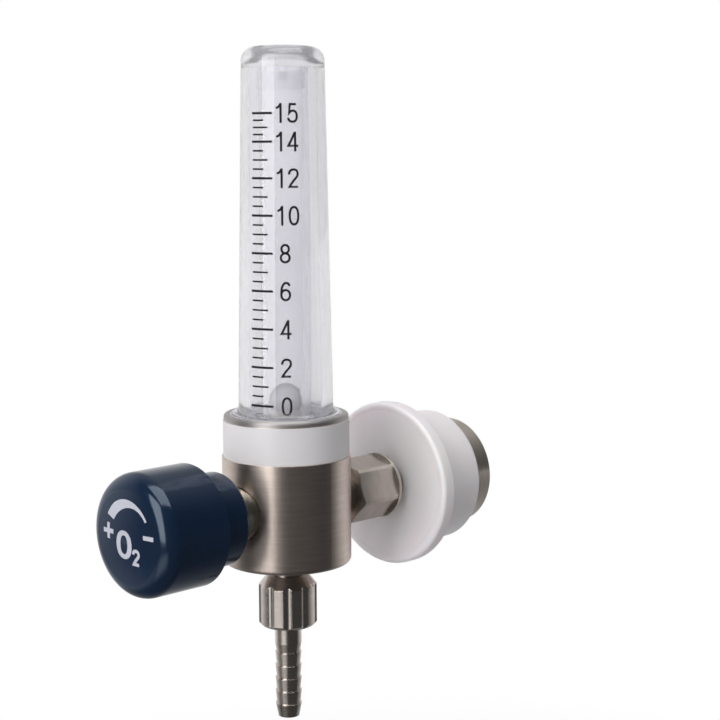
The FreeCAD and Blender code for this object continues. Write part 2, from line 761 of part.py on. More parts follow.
def make_knob():
    """The knob's core: a drum that the cap covers, and a neck behind it that hides the bonnet's head."""
    recess = bonnet_head_radius + knob_gap
    hub = stem_tip_radius + fitted_gap
    pocket = knob_screw_head_radius + knob_pocket_gap
    lip_y = knob_rear_y + knob_lip_width
    neck_edge = knob_neck_radius - knob_neck_round
    outline = [
        line((pocket, knob_core_face_y), (knob_core_radius - knob_core_edge, knob_core_face_y)),
        line((knob_core_radius - knob_core_edge, knob_core_face_y),
             (knob_core_radius, knob_core_face_y + knob_core_edge)),
        line((knob_core_radius, knob_core_face_y + knob_core_edge),
             (knob_core_radius, lip_y - knob_lip_edge)),
        line((knob_core_radius, lip_y - knob_lip_edge), (knob_core_radius - knob_lip_edge, lip_y)),
        line((knob_core_radius - knob_lip_edge, lip_y), (knob_neck_radius, lip_y)),
        line((knob_neck_radius, lip_y), (knob_neck_radius, knob_neck_end_y - knob_neck_round)),
        bend((neck_edge, knob_neck_end_y - knob_neck_round), knob_neck_round, 0, 90),
        line((neck_edge, knob_neck_end_y), (recess, knob_neck_end_y)),
        line((recess, knob_neck_end_y), (recess, knob_recess_end_y)),
        line((recess, knob_recess_end_y), (hub, knob_recess_end_y)),
        line((hub, knob_recess_end_y), (hub, knob_web_y)),
        line((hub, knob_web_y), (pocket, knob_web_y)),
        line((pocket, knob_web_y), (pocket, knob_core_face_y)),
    ]
    return along_y(turned(*outline))


def make_knob_cap():
    """A moulded cap pressed over the core. Its face bulges and runs smoothly into the round edge."""
    bore = knob_core_radius + fitted_gap
    round_radius = knob_radius - knob_round
    lean = asin(round_radius / (knob_face_curve - knob_round))
    round_y = knob_face_y + knob_face_curve - (knob_face_curve - knob_round) * cos(lean)
    turn = 270 + degrees(lean)
    half_way = (knob_face_curve * sin(lean / 2), knob_face_y + knob_face_curve * (1 - cos(lean / 2)))
    face_edge = (knob_face_curve * sin(lean), knob_face_y + knob_face_curve * (1 - cos(lean)))
    outline = [
        arc((0, knob_face_y), half_way, face_edge),
        bend((round_radius, round_y), knob_round, turn, 360),
        line((knob_radius, round_y), (knob_radius, knob_rear_y - knob_edge)),
        line((knob_radius, knob_rear_y - knob_edge), (knob_radius - knob_edge, knob_rear_y)),
        line((knob_radius - knob_edge, knob_rear_y), (bore, knob_rear_y)),
        line((bore, knob_rear_y), (bore, knob_core_face_y)),
        line((bore, knob_core_face_y), (0, knob_core_face_y)),
        line((0, knob_core_face_y), (0, knob_face_y)),
    ]
    return along_y(turned(*outline))


def make_knob_screw():
    """A cap screw with a hexagon socket, its head against the knob's web."""
    top = knob_web_y - knob_screw_head_height
    shank_end = knob_web_y + knob_screw_length
    shank = knob_screw_radius - seal_gap
    profile = [
        (0, top), (knob_screw_head_radius - knob_screw_head_edge, top),
        (knob_screw_head_radius, top + knob_screw_head_edge), (knob_screw_head_radius, knob_web_y),
        (shank, knob_web_y), (shank, shank_end), (0, shank_end),
    ]
    socket = hexagon(screw_socket_across_flats, top - 1, top + screw_socket_depth, 0)
    return along_y(revolved(profile).cut(socket))


# Outlet

def make_outlet_stud():
    thread_top = body_bottom_z + stud_upper_length
    shoulder = body_bottom_z - stud_collar_height
    spigot_top = stud_end_z + stud_spigot_depth
    profile = [
        (outlet_passage_radius, thread_top), (stud_thread_radius - stud_edge, thread_top),
        (stud_thread_radius, thread_top - stud_edge), (stud_thread_radius, body_bottom_z),
        (stud_collar_radius, body_bottom_z), (stud_collar_radius, shoulder),
        (stud_thread_radius, shoulder), (stud_thread_radius, stud_end_z + stud_edge),
        (stud_thread_radius - stud_edge, stud_end_z), (stud_spigot_bore + stud_mouth_edge, stud_end_z),
        (stud_spigot_bore, stud_end_z + stud_mouth_edge), (stud_spigot_bore, spigot_top),
        (outlet_passage_radius, spigot_top),
    ]
    return revolved(profile)


def flute_radius():
    """The radius of a cutter that leaves a flute of the named depth and angle."""
    half_width = outlet_nut_radius * sin(radians(flute_angle / 2))
    rise = outlet_nut_radius * (1 - cos(radians(flute_angle / 2)))
    depth = flute_depth - rise
    return (half_width ** 2 + depth ** 2) / (2 * depth)


def make_outlet_nut():
    """A turned nut with shallow round flutes that run out on its cone."""
    thread = stud_thread_radius + running_gap
    hole = barb_neck_radius + running_gap
    cone_end_z = outlet_nut_top_z - outlet_nut_cone
    profile = [
        (thread, outlet_nut_top_z), (thread + outlet_nut_neck, outlet_nut_top_z),
        (outlet_nut_radius, cone_end_z), (outlet_nut_radius, outlet_nut_bottom_z + outlet_nut_edge),
        (outlet_nut_radius - outlet_nut_edge, outlet_nut_bottom_z), (hole, outlet_nut_bottom_z),
        (hole, outlet_nut_lip_z), (thread, outlet_nut_lip_z),
    ]
    nut = revolved(profile)
    radius = flute_radius()
    centre = outlet_nut_radius - flute_depth + radius
    length = outlet_nut_length + 2
    for i in range(flute_count):
        cutter = Part.makeCylinder(radius, length, FreeCAD.Vector(centre, 0, outlet_nut_bottom_z - 1))
        angle = first_flute_angle + 360 * i / flute_count
        nut = nut.cut(cutter.rotated(FreeCAD.Vector(), FreeCAD.Vector(0, 0, 1), angle))
    return nut


def make_hose_barb():
    """A tail with a row of barbs, each a sharp shoulder that tapers towards the tip."""
    collar_low = outlet_nut_lip_z + running_gap
    neck_end = outlet_nut_bottom_z - barb_neck_show
    spigot_top = barb_collar_top_z + barb_spigot_length
    half = barb_seal_section * groove_room / 2
    floor, middle, section = groove_sizes(stud_spigot_bore, barb_seal_section)
    profile = [
        (barb_bore_radius, spigot_top), (barb_spigot_radius - barb_spigot_edge, spigot_top),
        (barb_spigot_radius, spigot_top - barb_spigot_edge), (barb_spigot_radius, barb_seal_z + half),
        (floor, barb_seal_z + half), (floor, barb_seal_z - half),
        (barb_spigot_radius, barb_seal_z - half), (barb_spigot_radius, barb_collar_top_z),
        (barb_collar_radius, barb_collar_top_z), (barb_collar_radius, collar_low),
        (barb_neck_radius, collar_low), (barb_neck_radius, neck_end),
        (barb_shank_radius, neck_end), (barb_shank_radius, barb_shank_end_z),
    ]
    for i in range(barb_count):
        shoulder = barb_first_z - i * barb_pitch
        profile += [(barb_valley_radius, shoulder), (barb_peak_radius, shoulder)]
    tip_z = barb_first_z - barb_count * barb_pitch
    profile += [(barb_tip_radius, tip_z), (barb_bore_radius, tip_z)]
    return revolved(profile)


def make_barb_o_ring():
    floor, middle, section = groove_sizes(stud_spigot_bore, barb_seal_section)
    return seal_ring(middle, section, barb_seal_z)


PIECES = {
    "body": make_body,
    "label_band": make_label_band,
    "outer_tube": make_outer_tube,
    "outer_tube_o_ring": make_outer_tube_o_ring,
    "metering_tube": make_metering_tube,
    "metering_tube_o_ring": make_metering_tube_o_ring,
    "tube_top_cap": make_tube_top_cap,
    "tube_top_washer": make_tube_top_washer,
    "float_ball": make_float_ball,
    "float_seat": make_float_seat,
    "inlet_nipple": make_inlet_nipple,
    "union_washer": make_union_washer,
    "union_nut": make_union_nut,
    "tailpiece": make_tailpiece,
    "stem_clip": make_stem_clip,
    "probe_collar": make_probe_collar,
    "probe_bell": make_probe_bell,
    "probe_nose": make_probe_nose,
    "nose_o_ring": make_nose_o_ring,
    "inlet_filter": make_inlet_filter,
    "filter_ring": make_filter_ring,
    "valve_seat": make_valve_seat,
    "valve_bonnet": make_valve_bonnet,
    "bonnet_o_ring": make_bonnet_o_ring,
    "valve_spindle": make_valve_spindle,
    "spindle_o_ring": make_spindle_o_ring,
    "knob": make_knob,
    "knob_cap": make_knob_cap,
    "knob_screw": make_knob_screw,
    "outlet_stud": make_outlet_stud,
    "outlet_nut": make_outlet_nut,
    "hose_barb": make_hose_barb,
    "barb_o_ring": make_barb_o_ring,
}


def main():
    os.makedirs("parts", exist_ok=True)
    for name, make in PIECES.items():
        shape = make()
        shape.translate(FreeCAD.Vector(0, -wall_face_y, 0))
        shape.exportStep(f"parts/{name}.step")
        print(name, "volume", round(shape.Volume, 1), "valid", shape.isValid())


main()
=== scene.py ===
# %% [markdown]
# # An oxygen flowmeter, dressed for the studio
# The metal block, the clear tubes, the knob and the wall probe come from the CAD model, already in
# place and in metres. This lesson gives each of them its real finish, prints the scale and the
# marks, and sets up the camera, the floor and the lamps.

# %% Load the model
import math

import bmesh
import bpy
import numpy as np
from mathutils import Matrix, Vector


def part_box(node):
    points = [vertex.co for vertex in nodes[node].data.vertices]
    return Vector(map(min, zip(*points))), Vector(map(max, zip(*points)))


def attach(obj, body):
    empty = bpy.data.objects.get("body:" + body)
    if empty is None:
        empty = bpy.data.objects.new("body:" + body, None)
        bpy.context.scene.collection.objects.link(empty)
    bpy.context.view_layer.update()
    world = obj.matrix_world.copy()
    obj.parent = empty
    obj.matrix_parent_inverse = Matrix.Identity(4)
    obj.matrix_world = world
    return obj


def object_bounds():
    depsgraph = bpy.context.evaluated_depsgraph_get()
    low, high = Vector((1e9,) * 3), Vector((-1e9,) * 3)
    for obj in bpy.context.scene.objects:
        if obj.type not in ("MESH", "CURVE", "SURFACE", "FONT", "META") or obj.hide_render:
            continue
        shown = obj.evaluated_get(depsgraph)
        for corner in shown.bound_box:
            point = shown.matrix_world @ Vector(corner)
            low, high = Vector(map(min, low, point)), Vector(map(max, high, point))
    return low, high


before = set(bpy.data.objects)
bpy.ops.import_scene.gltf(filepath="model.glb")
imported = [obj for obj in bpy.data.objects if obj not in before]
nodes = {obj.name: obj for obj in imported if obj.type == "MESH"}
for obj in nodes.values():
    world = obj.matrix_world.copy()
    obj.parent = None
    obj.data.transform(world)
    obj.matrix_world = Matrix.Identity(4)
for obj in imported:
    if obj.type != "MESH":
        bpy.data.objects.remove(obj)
cad_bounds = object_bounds()
print("nodes in the model:", len(nodes))

# %% [markdown]
# ## Places that several cells use
# The tube, the block and the hose tail share one upright axis. The knob and the wall probe share a
# level one that crosses it, which is the model's own Y axis. The place of the upright axis, the
# tops of the block and the clear cover, and the knob's face are read from the model's boxes.

# %% Axes and levels
MM = 0.001
body_low, body_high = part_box("body")
tube_axis_y = (body_low.y + body_high.y) / 2
block_top = body_high.z
cover_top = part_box("outer_tube")[1].z
knob_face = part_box("knob_cap")[0].y
print("upright axis at y = %.2f mm" % (tube_axis_y / MM))

# %% [markdown]
# ## The camera
# The photograph looks down a little, from between the knob's side and the block's right. Its place
# comes from fitting the known edges of the object. It is given as the angle round the object, the
# height angle, a slight tilt, and then how far the camera stands to the right, up and back from a
# point on the upright axis. A long lens keeps the upright edges nearly parallel.

# %% Camera from angles
IMAGE_SIZE = 720
FOCAL_PIXELS = 1617.4
SENSOR_WIDTH = 36.0
CLIP_START = 0.01
AROUND, ABOVE, TILT = (math.radians(a) for a in (45.10, 7.62, -0.21))
# Millimetres: a point on the upright axis, and the camera's place from there
AIM_Y = -58.4
TO_RIGHT, UPWARD, BACKWARD = 19.90, 39.25, 440.97

aim = Vector((0, AIM_Y * MM, 0))
back = Vector((math.sin(AROUND) * math.cos(ABOVE), -math.cos(AROUND) * math.cos(ABOVE), math.sin(ABOVE)))
level = Vector((math.cos(AROUND), math.sin(AROUND), 0))
rise = back.cross(level)
image_right = level * math.cos(TILT) + rise * math.sin(TILT)
image_up = rise * math.cos(TILT) - level * math.sin(TILT)
place = aim + image_right * TO_RIGHT * MM + image_up * UPWARD * MM + back * BACKWARD * MM
turn = Matrix((image_right, image_up, back)).transposed().to_4x4()

camera = bpy.data.objects.new("camera", bpy.data.cameras.new("camera"))
bpy.context.scene.collection.objects.link(camera)
camera.data.sensor_width = SENSOR_WIDTH
camera.data.lens = FOCAL_PIXELS * SENSOR_WIDTH / IMAGE_SIZE
camera.data.clip_start = CLIP_START
camera.matrix_world = Matrix.Translation(place) @ turn
bpy.context.scene.camera = camera
bpy.context.scene.view_settings.view_transform = "Standard"
print("camera at", [round(v / MM, 1) for v in place], "mm, lens", round(camera.data.lens, 2), "mm")

# %% [markdown]
# ## Building materials from nodes
# Every finish here is a graph of nodes, and written out in full each would fill a page. So the first
# helpers add one node in one line: any node with its plain values, a step of arithmetic, a mapped
# range, a mix of two colours, a vector's length, and how far two directions agree.

# %% Helpers for single nodes
def add(tree, kind, *links, **values):
    """Adds a node. links are (input, socket) pairs. values set plain inputs or the node's own settings."""
    node = tree.nodes.new("ShaderNode" + kind)
    for name, value in values.items():
        label = name.replace("_", " ")
        socket = next((s for s in node.inputs if s.name.lower() == label), None)
        if hasattr(node, name):
            setattr(node, name, value)
        elif socket is not None:
            socket.default_value = value
        else:
            raise KeyError("%s has no %s" % (kind, name))
    for place_in, source in links:
        tree.links.new(source, node.inputs[place_in])
    return node


def math_of(tree, operation, a, b):
    """One Math node: a and b are sockets or plain numbers."""
    node = tree.nodes.new("ShaderNodeMath")
    node.operation = operation
    for index, value in enumerate((a, b)):
        if isinstance(value, (int, float)):
            node.inputs[index].default_value = value
        else:
            tree.links.new(value, node.inputs[index])
    return node.outputs[0]


def range_of(tree, value, low, high, out_low, out_high):
    """Maps value from low..high to out_low..out_high, and stops at the ends."""
    node = add(tree, "MapRange", ("Value", value))
    for name, number in zip(("From Min", "From Max", "To Min", "To Max"), (low, high, out_low, out_high)):
        node.inputs[name].default_value = number
    return node.outputs["Result"]


def tint(tree, mask, first, second):
    """Mixes two colours, each a plain colour or a socket, by a mask."""
    node = tree.nodes.new("ShaderNodeMix")
    node.data_type = "RGBA"
    for index, value in ((6, first), (7, second)):
        if isinstance(value, tuple):
            node.inputs[index].default_value = (*value, 1.0)
        else:
            tree.links.new(value, node.inputs[index])
    tree.links.new(mask, node.inputs[0])
    return node.outputs[2]


def length_of(tree, vector):
    """How long a vector is."""
    return add(tree, "VectorMath", (0, vector), operation="LENGTH").outputs["Value"]


def agreement(tree, vector, other):
    """The dot product of a vector and another one, which is a plain one or a socket."""
    node = add(tree, "VectorMath", (0, vector), operation="DOT_PRODUCT")
    if isinstance(other, tuple):
        node.inputs[1].default_value = other
    else:
        tree.links.new(other, node.inputs[1])
    return node.outputs["Value"]


print("node helpers ready")

# %% [markdown]
# ## Materials and groups
# The next helpers open an empty material, open a group with named sockets, and place a group in a
# material. A group is a graph that several finishes share, such as the grain of turned metal. The
# ones here put out only masks, heights and normals. The shaders stay in the materials, because the
# export can't read them inside a group.

# %% Helpers for materials and groups
def new_material(name):
    """An empty material, its node tree and its output node."""
    material = bpy.data.materials.new(name)
    material.use_nodes = True
    material.node_tree.nodes.clear()
    return material, material.node_tree, add(material.node_tree, "OutputMaterial")


def new_group(name, inputs, outputs):
    """An empty node group. inputs are (name, kind, plain value) rows and outputs (name, kind) rows."""
    tree = bpy.data.node_groups.new(name, "ShaderNodeTree")
    for label, kind, value in inputs:
        socket = tree.interface.new_socket(label, in_out="INPUT", socket_type="NodeSocket" + kind)
        if value is not None:
            socket.default_value = value
    for label, kind in outputs:
        tree.interface.new_socket(label, in_out="OUTPUT", socket_type="NodeSocket" + kind)
    return tree, tree.nodes.new("NodeGroupInput"), tree.nodes.new("NodeGroupOutput")


def use_group(tree, group, *links, **values):
    """Places a group in a material and sets its inputs."""
    node = tree.nodes.new("ShaderNodeGroup")
    node.node_tree = group
    for name, value in values.items():
        node.inputs[name].default_value = value
    for place_in, source in links:
        tree.links.new(source, node.inputs[place_in])
    return node


def level_part(tree, spot):
    """The level part of a place that is split in X, Y and Z. Its length is the distance to the axis."""
    return add(tree, "CombineXYZ", ("X", spot.outputs["X"]), ("Y", spot.outputs["Y"])).outputs[0]


print("material helpers ready")

# %% [markdown]
# ## The grain of turned metal
# A lathe leaves fine grooves that run round the axis. Seen close, brightness changes quickly along
# the axis and hardly at all round it. One way is an image of brushed metal. Here a noise is read in
# four directions instead: sine and cosine of the turn, scaled small, then the height and the
# distance from the axis, scaled large. Sine and cosine leave no seam, and the distance draws rings
# on end faces. The same group serves the block, the nuts and the bell, each with its own axis.

# %% Group: turned grain
GROOVE_DETAIL, BAND_DETAIL = 3.0, 2.0
BAND_SHARE = 0.11

grain, g_in, g_out = new_group(
    "turned grain",
    [("Place", "Vector", None), ("Fineness", "Float", 9000.0), ("Length", "Float", 2.0)],
    [("Grooves", "Float"), ("Bands", "Float")],
)
spot = add(grain, "SeparateXYZ", ("Vector", g_in.outputs["Place"]))
across = level_part(grain, spot)
radius = length_of(grain, across)
around = add(grain, "VectorMath", (0, across), operation="NORMALIZE").outputs[0]
stretched = add(grain, "VectorMath", (0, around), operation="SCALE")
grain.links.new(g_in.outputs["Length"], stretched.inputs["Scale"])
turns = add(grain, "SeparateXYZ", ("Vector", stretched.outputs[0]))


def groove_noise(fineness, detail):
    """Noise whose place is the stretched turn, the height and the radius, the last two times fineness."""
    high = math_of(grain, "MULTIPLY", spot.outputs["Z"], fineness)
    wide = math_of(grain, "MULTIPLY", radius, fineness)
    read_at = add(grain, "CombineXYZ", ("X", turns.outputs["X"]), ("Y", turns.outputs["Y"]), ("Z", high))
    noise = add(grain, "TexNoise", ("Vector", read_at.outputs[0]), ("W", wide),
                noise_dimensions="4D", scale=1.0, detail=detail)
    return noise.outputs[0]


grain.links.new(groove_noise(g_in.outputs["Fineness"], GROOVE_DETAIL), g_out.inputs["Grooves"])
slow = math_of(grain, "MULTIPLY", g_in.outputs["Fineness"], BAND_SHARE)
grain.links.new(groove_noise(slow, BAND_DETAIL), g_out.inputs["Bands"])
print("turned grain has", len(grain.nodes), "nodes")

# %% [markdown]
# ## Handling marks
# Plated metal and gloss plastic that people touch carry faint smudges and a few hairlines. A large
# soft noise gives the smudges. The hairlines are a stretched noise of which only the peaks are kept.
# Both stay weak: this meter is nearly new.

# %% Group: handling marks
SMUDGE_FROM, SMUDGE_FULL = 0.35, 0.7
HAIRLINE_FROM, HAIRLINE_FULL = 0.72, 0.78
HAIRLINE_TURN = (0.5, 0.9, 0.3)
HAIRLINE_STRETCH = (160.0, 2600.0, 2600.0)

marks, h_in, h_out = new_group(
    "handling marks",
    [("Place", "Vector", None), ("Size", "Float", 60.0)],
    [("Smudges", "Float"), ("Hairlines", "Float")],
)
smudge = add(marks, "TexNoise", ("Vector", h_in.outputs["Place"]), ("Scale", h_in.outputs["Size"]),
             detail=4.0, roughness=0.6)
smudges = range_of(marks, smudge.outputs[0], SMUDGE_FROM, SMUDGE_FULL, 0.0, 1.0)
marks.links.new(smudges, h_out.inputs["Smudges"])
slant = add(marks, "Mapping", ("Vector", h_in.outputs["Place"]))
slant.inputs["Rotation"].default_value = HAIRLINE_TURN
slant.inputs["Scale"].default_value = HAIRLINE_STRETCH
line_noise = add(marks, "TexNoise", ("Vector", slant.outputs[0]), scale=1.0, detail=1.0)
hairlines = range_of(marks, line_noise.outputs[0], HAIRLINE_FROM, HAIRLINE_FULL, 0.0, 1.0)
marks.links.new(hairlines, h_out.inputs["Hairlines"])
print("handling marks has", len(marks.nodes), "nodes")

# %% [markdown]
# ## Where edges catch the light
# The rims of nuts and blocks are rubbed brighter than their faces. A Bevel node gives the normal of
# a rounded copy of the surface, and where that differs from the real normal there is an edge. The
# difference becomes a mask.

# %% Group: rubbed edges
LIKE_A_FACE, LIKE_AN_EDGE = 0.995, 0.86

edges, e_in, e_out = new_group(
    "rubbed edges", [("Width", "Float", 0.0003)], [("Edge", "Float"), ("Normal", "Vector")])
rounded = add(edges, "Bevel", ("Radius", e_in.outputs["Width"]), samples=6)
true_normal = add(edges, "NewGeometry")
likeness = agreement(edges, rounded.outputs[0], true_normal.outputs["Normal"])
edge_mask = range_of(edges, likeness, LIKE_A_FACE, LIKE_AN_EDGE, 0.0, 1.0)
edges.links.new(edge_mask, e_out.inputs["Edge"])
edges.links.new(rounded.outputs[0], e_out.inputs["Normal"])
print("rubbed edges has", len(edges.nodes), "nodes")

# %% [markdown]
# ## Turned nickel plate
# The block, the bonnet, the nuts and the barb are turned metal with a nickel plate. Grooves that run
# round the piece spread a highlight along the axis and keep it narrow round it, so the metal shows
# upright bands of light and dark. The Principled shader does this with its anisotropy and a
# tangent that turns round the axis. The grain group adds the single grooves on top.

# %% Turned metal
LEVEL_AXIS = (math.pi / 2, 0.0, 0.0)
GRAIN_LENGTH = 1.6
SMUDGE_SIZE, SMUDGE_ROUGHER = 70.0, 0.035
EDGE_WIDTH, GROOVE_DEPTH = 0.22 * MM, 0.004 * MM
BAND_RANGE, DULL_BAND, BRIGHT_BAND = (0.3, 0.7), 0.93, 1.06
GROOVE_RANGE, SMOOTH_GROOVE, ROUGH_GROOVE = (0.25, 0.75), 0.82, 1.2
RUBBED = (0.9, 0.89, 0.87)
QUARTER_TURN = 0.25


def turned_metal(name, colour, roughness, axis, spread, fineness=9000.0, wear=0.25):
    """Metal turned about an upright axis ('Z') or a level one ('Y'), both through the block's middle.
    spread is how far a highlight is drawn out, fineness how close the grooves lie, and wear how much
    brighter the edges are rubbed."""
    material, tree, output = new_material(name)
    place = add(tree, "TexCoord").outputs["Object"]
    centred = add(tree, "Mapping", ("Vector", place), vector_type="POINT")
    if axis == "Z":
        centred.inputs["Location"].default_value = (0.0, -tube_axis_y, 0.0)
    else:
        centred.inputs["Rotation"].default_value = LEVEL_AXIS
    groove = use_group(tree, grain, ("Place", centred.outputs[0]), Fineness=fineness, Length=GRAIN_LENGTH)
    touch = use_group(tree, marks, ("Place", place), Size=SMUDGE_SIZE)
    edge = use_group(tree, edges, Width=EDGE_WIDTH)
    dull, bright = (tuple(c * level for c in colour) for level in (DULL_BAND, BRIGHT_BAND))
    base = tint(tree, range_of(tree, groove.outputs["Bands"], *BAND_RANGE, 0.0, 1.0), dull, bright)
    base = tint(tree, math_of(tree, "MULTIPLY", edge.outputs["Edge"], wear), base, RUBBED)
    rough = range_of(tree, groove.outputs["Grooves"], *GROOVE_RANGE,
                     roughness * SMOOTH_GROOVE, roughness * ROUGH_GROOVE)
    smudged = math_of(tree, "MULTIPLY", touch.outputs["Smudges"], SMUDGE_ROUGHER)
    relief = add(tree, "Bump", ("Height", groove.outputs["Grooves"]), ("Normal", edge.outputs["Normal"]),
                 distance=GROOVE_DEPTH, strength=1.0)
    tangent = add(tree, "Tangent", direction_type="RADIAL", axis=axis)
    shader = add(tree, "BsdfPrincipled", ("Base Color", base), ("Normal", relief.outputs[0]),
                 ("Roughness", math_of(tree, "ADD", rough, smudged)), ("Tangent", tangent.outputs[0]),
                 metallic=1.0, anisotropic=spread)
    shader.inputs["Anisotropic Rotation"].default_value = QUARTER_TURN
    tree.links.new(shader.outputs[0], output.inputs["Surface"])
    return material


block_metal = turned_metal("block_nickel", (0.665, 0.57, 0.515), 0.36, "Z", 0.75, fineness=12000.0)
nut_metal = turned_metal("nut_nickel", (0.72, 0.65, 0.60), 0.22, "Z", 0.5, fineness=7000.0, wear=0.08)
bonnet_metal = turned_metal("bonnet_nickel", (0.60, 0.57, 0.49), 0.28, "Y", 0.5)
union_metal = turned_metal("union_nickel", (0.60, 0.55, 0.495), 0.36, "Y", 0.35, fineness=6000.0)
bell_metal = turned_metal("bell_nickel", (0.66, 0.595, 0.525), 0.28, "Y", 0.5)
print("turned metals made")

# %% [markdown]
# ## The block's socket and rim
# The wall of the socket that takes the clear foot is seen through the plastic, and there the real
# one looks pale and dull. That paleness is painted light: a pale, less metallic colour stands in
# for the light on the wall. The narrow rim above the label is greyer and duller than the turned
# wall below. Both could be separate pieces, but the block is one solid, so two masks change it
# instead: one from the distance to the axis and the height, and one from the height alone.

# %% Socket and rim
# The socket's pale colour is painted light, standing in for the light on the wall behind the foot
SOCKET_PAINTED_LIGHT, RIM_GREY = (0.93, 0.92, 0.95), (0.60, 0.565, 0.565)
SOCKET_WALL = (14.9 * MM, 15.2 * MM)
SOCKET_FLOOR = (block_top - 12.0 * MM, block_top - 10.0 * MM)
RIM_BAND = (block_top - 1.9 * MM, block_top - 1.1 * MM)
RIM_ROUGHER = 0.22
SOCKET_METALLIC = 0.3

tree = block_metal.node_tree
shader = tree.nodes["Principled BSDF"]
base, rough = (shader.inputs[name].links[0].from_socket for name in ("Base Color", "Roughness"))
spot = add(tree, "SeparateXYZ", ("Vector", tree.nodes["Mapping"].outputs[0]))
near = range_of(tree, length_of(tree, level_part(tree, spot)), *SOCKET_WALL, 1.0, 0.0)
high = range_of(tree, spot.outputs["Z"], *SOCKET_FLOOR, 0.0, 1.0)
socket_light_mask = math_of(tree, "MULTIPLY", near, high)
on_rim = range_of(tree, spot.outputs["Z"], *RIM_BAND, 0.0, 1.0)
# Painted light: where the socket mask is full, the pale colour replaces the metal's own
base = tint(tree, socket_light_mask, tint(tree, on_rim, base, RIM_GREY), SOCKET_PAINTED_LIGHT)
rough = math_of(tree, "ADD", rough, math_of(tree, "MULTIPLY", on_rim, RIM_ROUGHER))
metallic = range_of(tree, socket_light_mask, 0.0, 1.0, 1.0, SOCKET_METALLIC)
for name, source in (("Base Color", base), ("Roughness", rough), ("Metallic", metallic)):
    tree.links.new(source, shader.inputs[name])
print("block metal has", len(tree.nodes), "nodes")

# %% [markdown]
# ## Other metals
# The ball is polished steel. In the photograph it is a soft grey that darkens towards its rim. That
# darkening is painted shade: the ball's colour fades from light to dark as the surface faces away,
# and its edge reflections are tinted dark too. The brass of the valve and the screw's steel take the
# turned recipe in their own colours. The filter is bronze powder pressed and sintered: a cell noise
# gives the grains and the dark pores between them.

# %% Ball, brass and sintered bronze
# The rim colour and the dark edge tint are painted shade that darkens the ball towards its rim
BALL_FRONT, BALL_PAINTED_RIM_SHADE = (0.70, 0.70, 0.72), (0.02, 0.02, 0.022)
BALL_DARK_EDGE_TINT = (0.25, 0.25, 0.27, 1.0)
BALL_ROUGHNESS, BALL_METALLIC, BALL_SMUDGES = (0.30, 0.42), 0.8, 420.0
BRONZE, PORE = (0.50, 0.34, 0.17), (0.10, 0.06, 0.03)
PORE_RANGE, FILTER_ROUGHNESS = (0.35, 0.75), (0.42, 0.9)
GRAINS_PER_METRE, GRAIN_RELIEF = 5200.0, 0.08 * MM

ball_metal, tree, output = new_material("ball_steel")
place = add(tree, "TexCoord").outputs["Object"]
touch = use_group(tree, marks, ("Place", place), Size=BALL_SMUDGES)
facing = add(tree, "LayerWeight", blend=0.5)
# Painted shade: the colour goes from the front colour to the rim colour as the surface faces away
base = tint(tree, facing.outputs["Facing"], BALL_FRONT, BALL_PAINTED_RIM_SHADE)
rough = range_of(tree, touch.outputs["Smudges"], 0.0, 1.0, *BALL_ROUGHNESS)
shader = add(tree, "BsdfPrincipled", ("Base Color", base), ("Roughness", rough),
             metallic=BALL_METALLIC)
shader.inputs["Specular Tint"].default_value = BALL_DARK_EDGE_TINT
tree.links.new(shader.outputs[0], output.inputs["Surface"])

valve_brass = turned_metal("valve_brass", (0.62, 0.47, 0.22), 0.30, "Y", 0.3, fineness=8000.0)
screw_metal = turned_metal("screw_steel", (0.42, 0.42, 0.43), 0.34, "Y", 0.3, fineness=8000.0)

filter_metal, tree, output = new_material("sintered_bronze")
place = add(tree, "TexCoord").outputs["Object"]
cells = add(tree, "TexVoronoi", ("Vector", place), scale=GRAINS_PER_METRE, feature="F1")
pores = range_of(tree, cells.outputs["Distance"], *PORE_RANGE, 0.0, 1.0)
base = tint(tree, pores, BRONZE, PORE)
rough = range_of(tree, pores, 0.0, 1.0, *FILTER_ROUGHNESS)
height = math_of(tree, "SUBTRACT", 1.0, cells.outputs["Distance"])
relief = add(tree, "Bump", ("Height", height), distance=GRAIN_RELIEF, strength=0.8)
shader = add(tree, "BsdfPrincipled", ("Base Color", base), ("Roughness", rough),
             ("Normal", relief.outputs[0]), metallic=1.0)
tree.links.new(shader.outputs[0], output.inputs["Surface"])
print("small metals made")

# %% [markdown]
# ## Moulded plastics, film and ink
# The knob is navy gloss plastic, the collar a white one that lets a little light in, and the label
# band a satin film. Their surfaces are nearly even, so the work lies in small things: a very faint
# waviness from the mould, a roughness that is never quite the same, and smudges. The seals and the
# two printing inks take the same recipe.

# %% Plastics and film
DRIFT_SHARE, DRIFT_RANGE = 0.5, (0.35, 0.65)
SPECKLES_PER_METRE, SPECKLE_SHARE = 4200.0, 0.06
CLEAN, SMUDGED = 0.85, 1.25
HAIRLINE_ROUGHER = 0.06
LIGHT_DEPTH, DEPTH_BY_COLOUR = 3.0 * MM, (1.0, 0.85, 0.8)


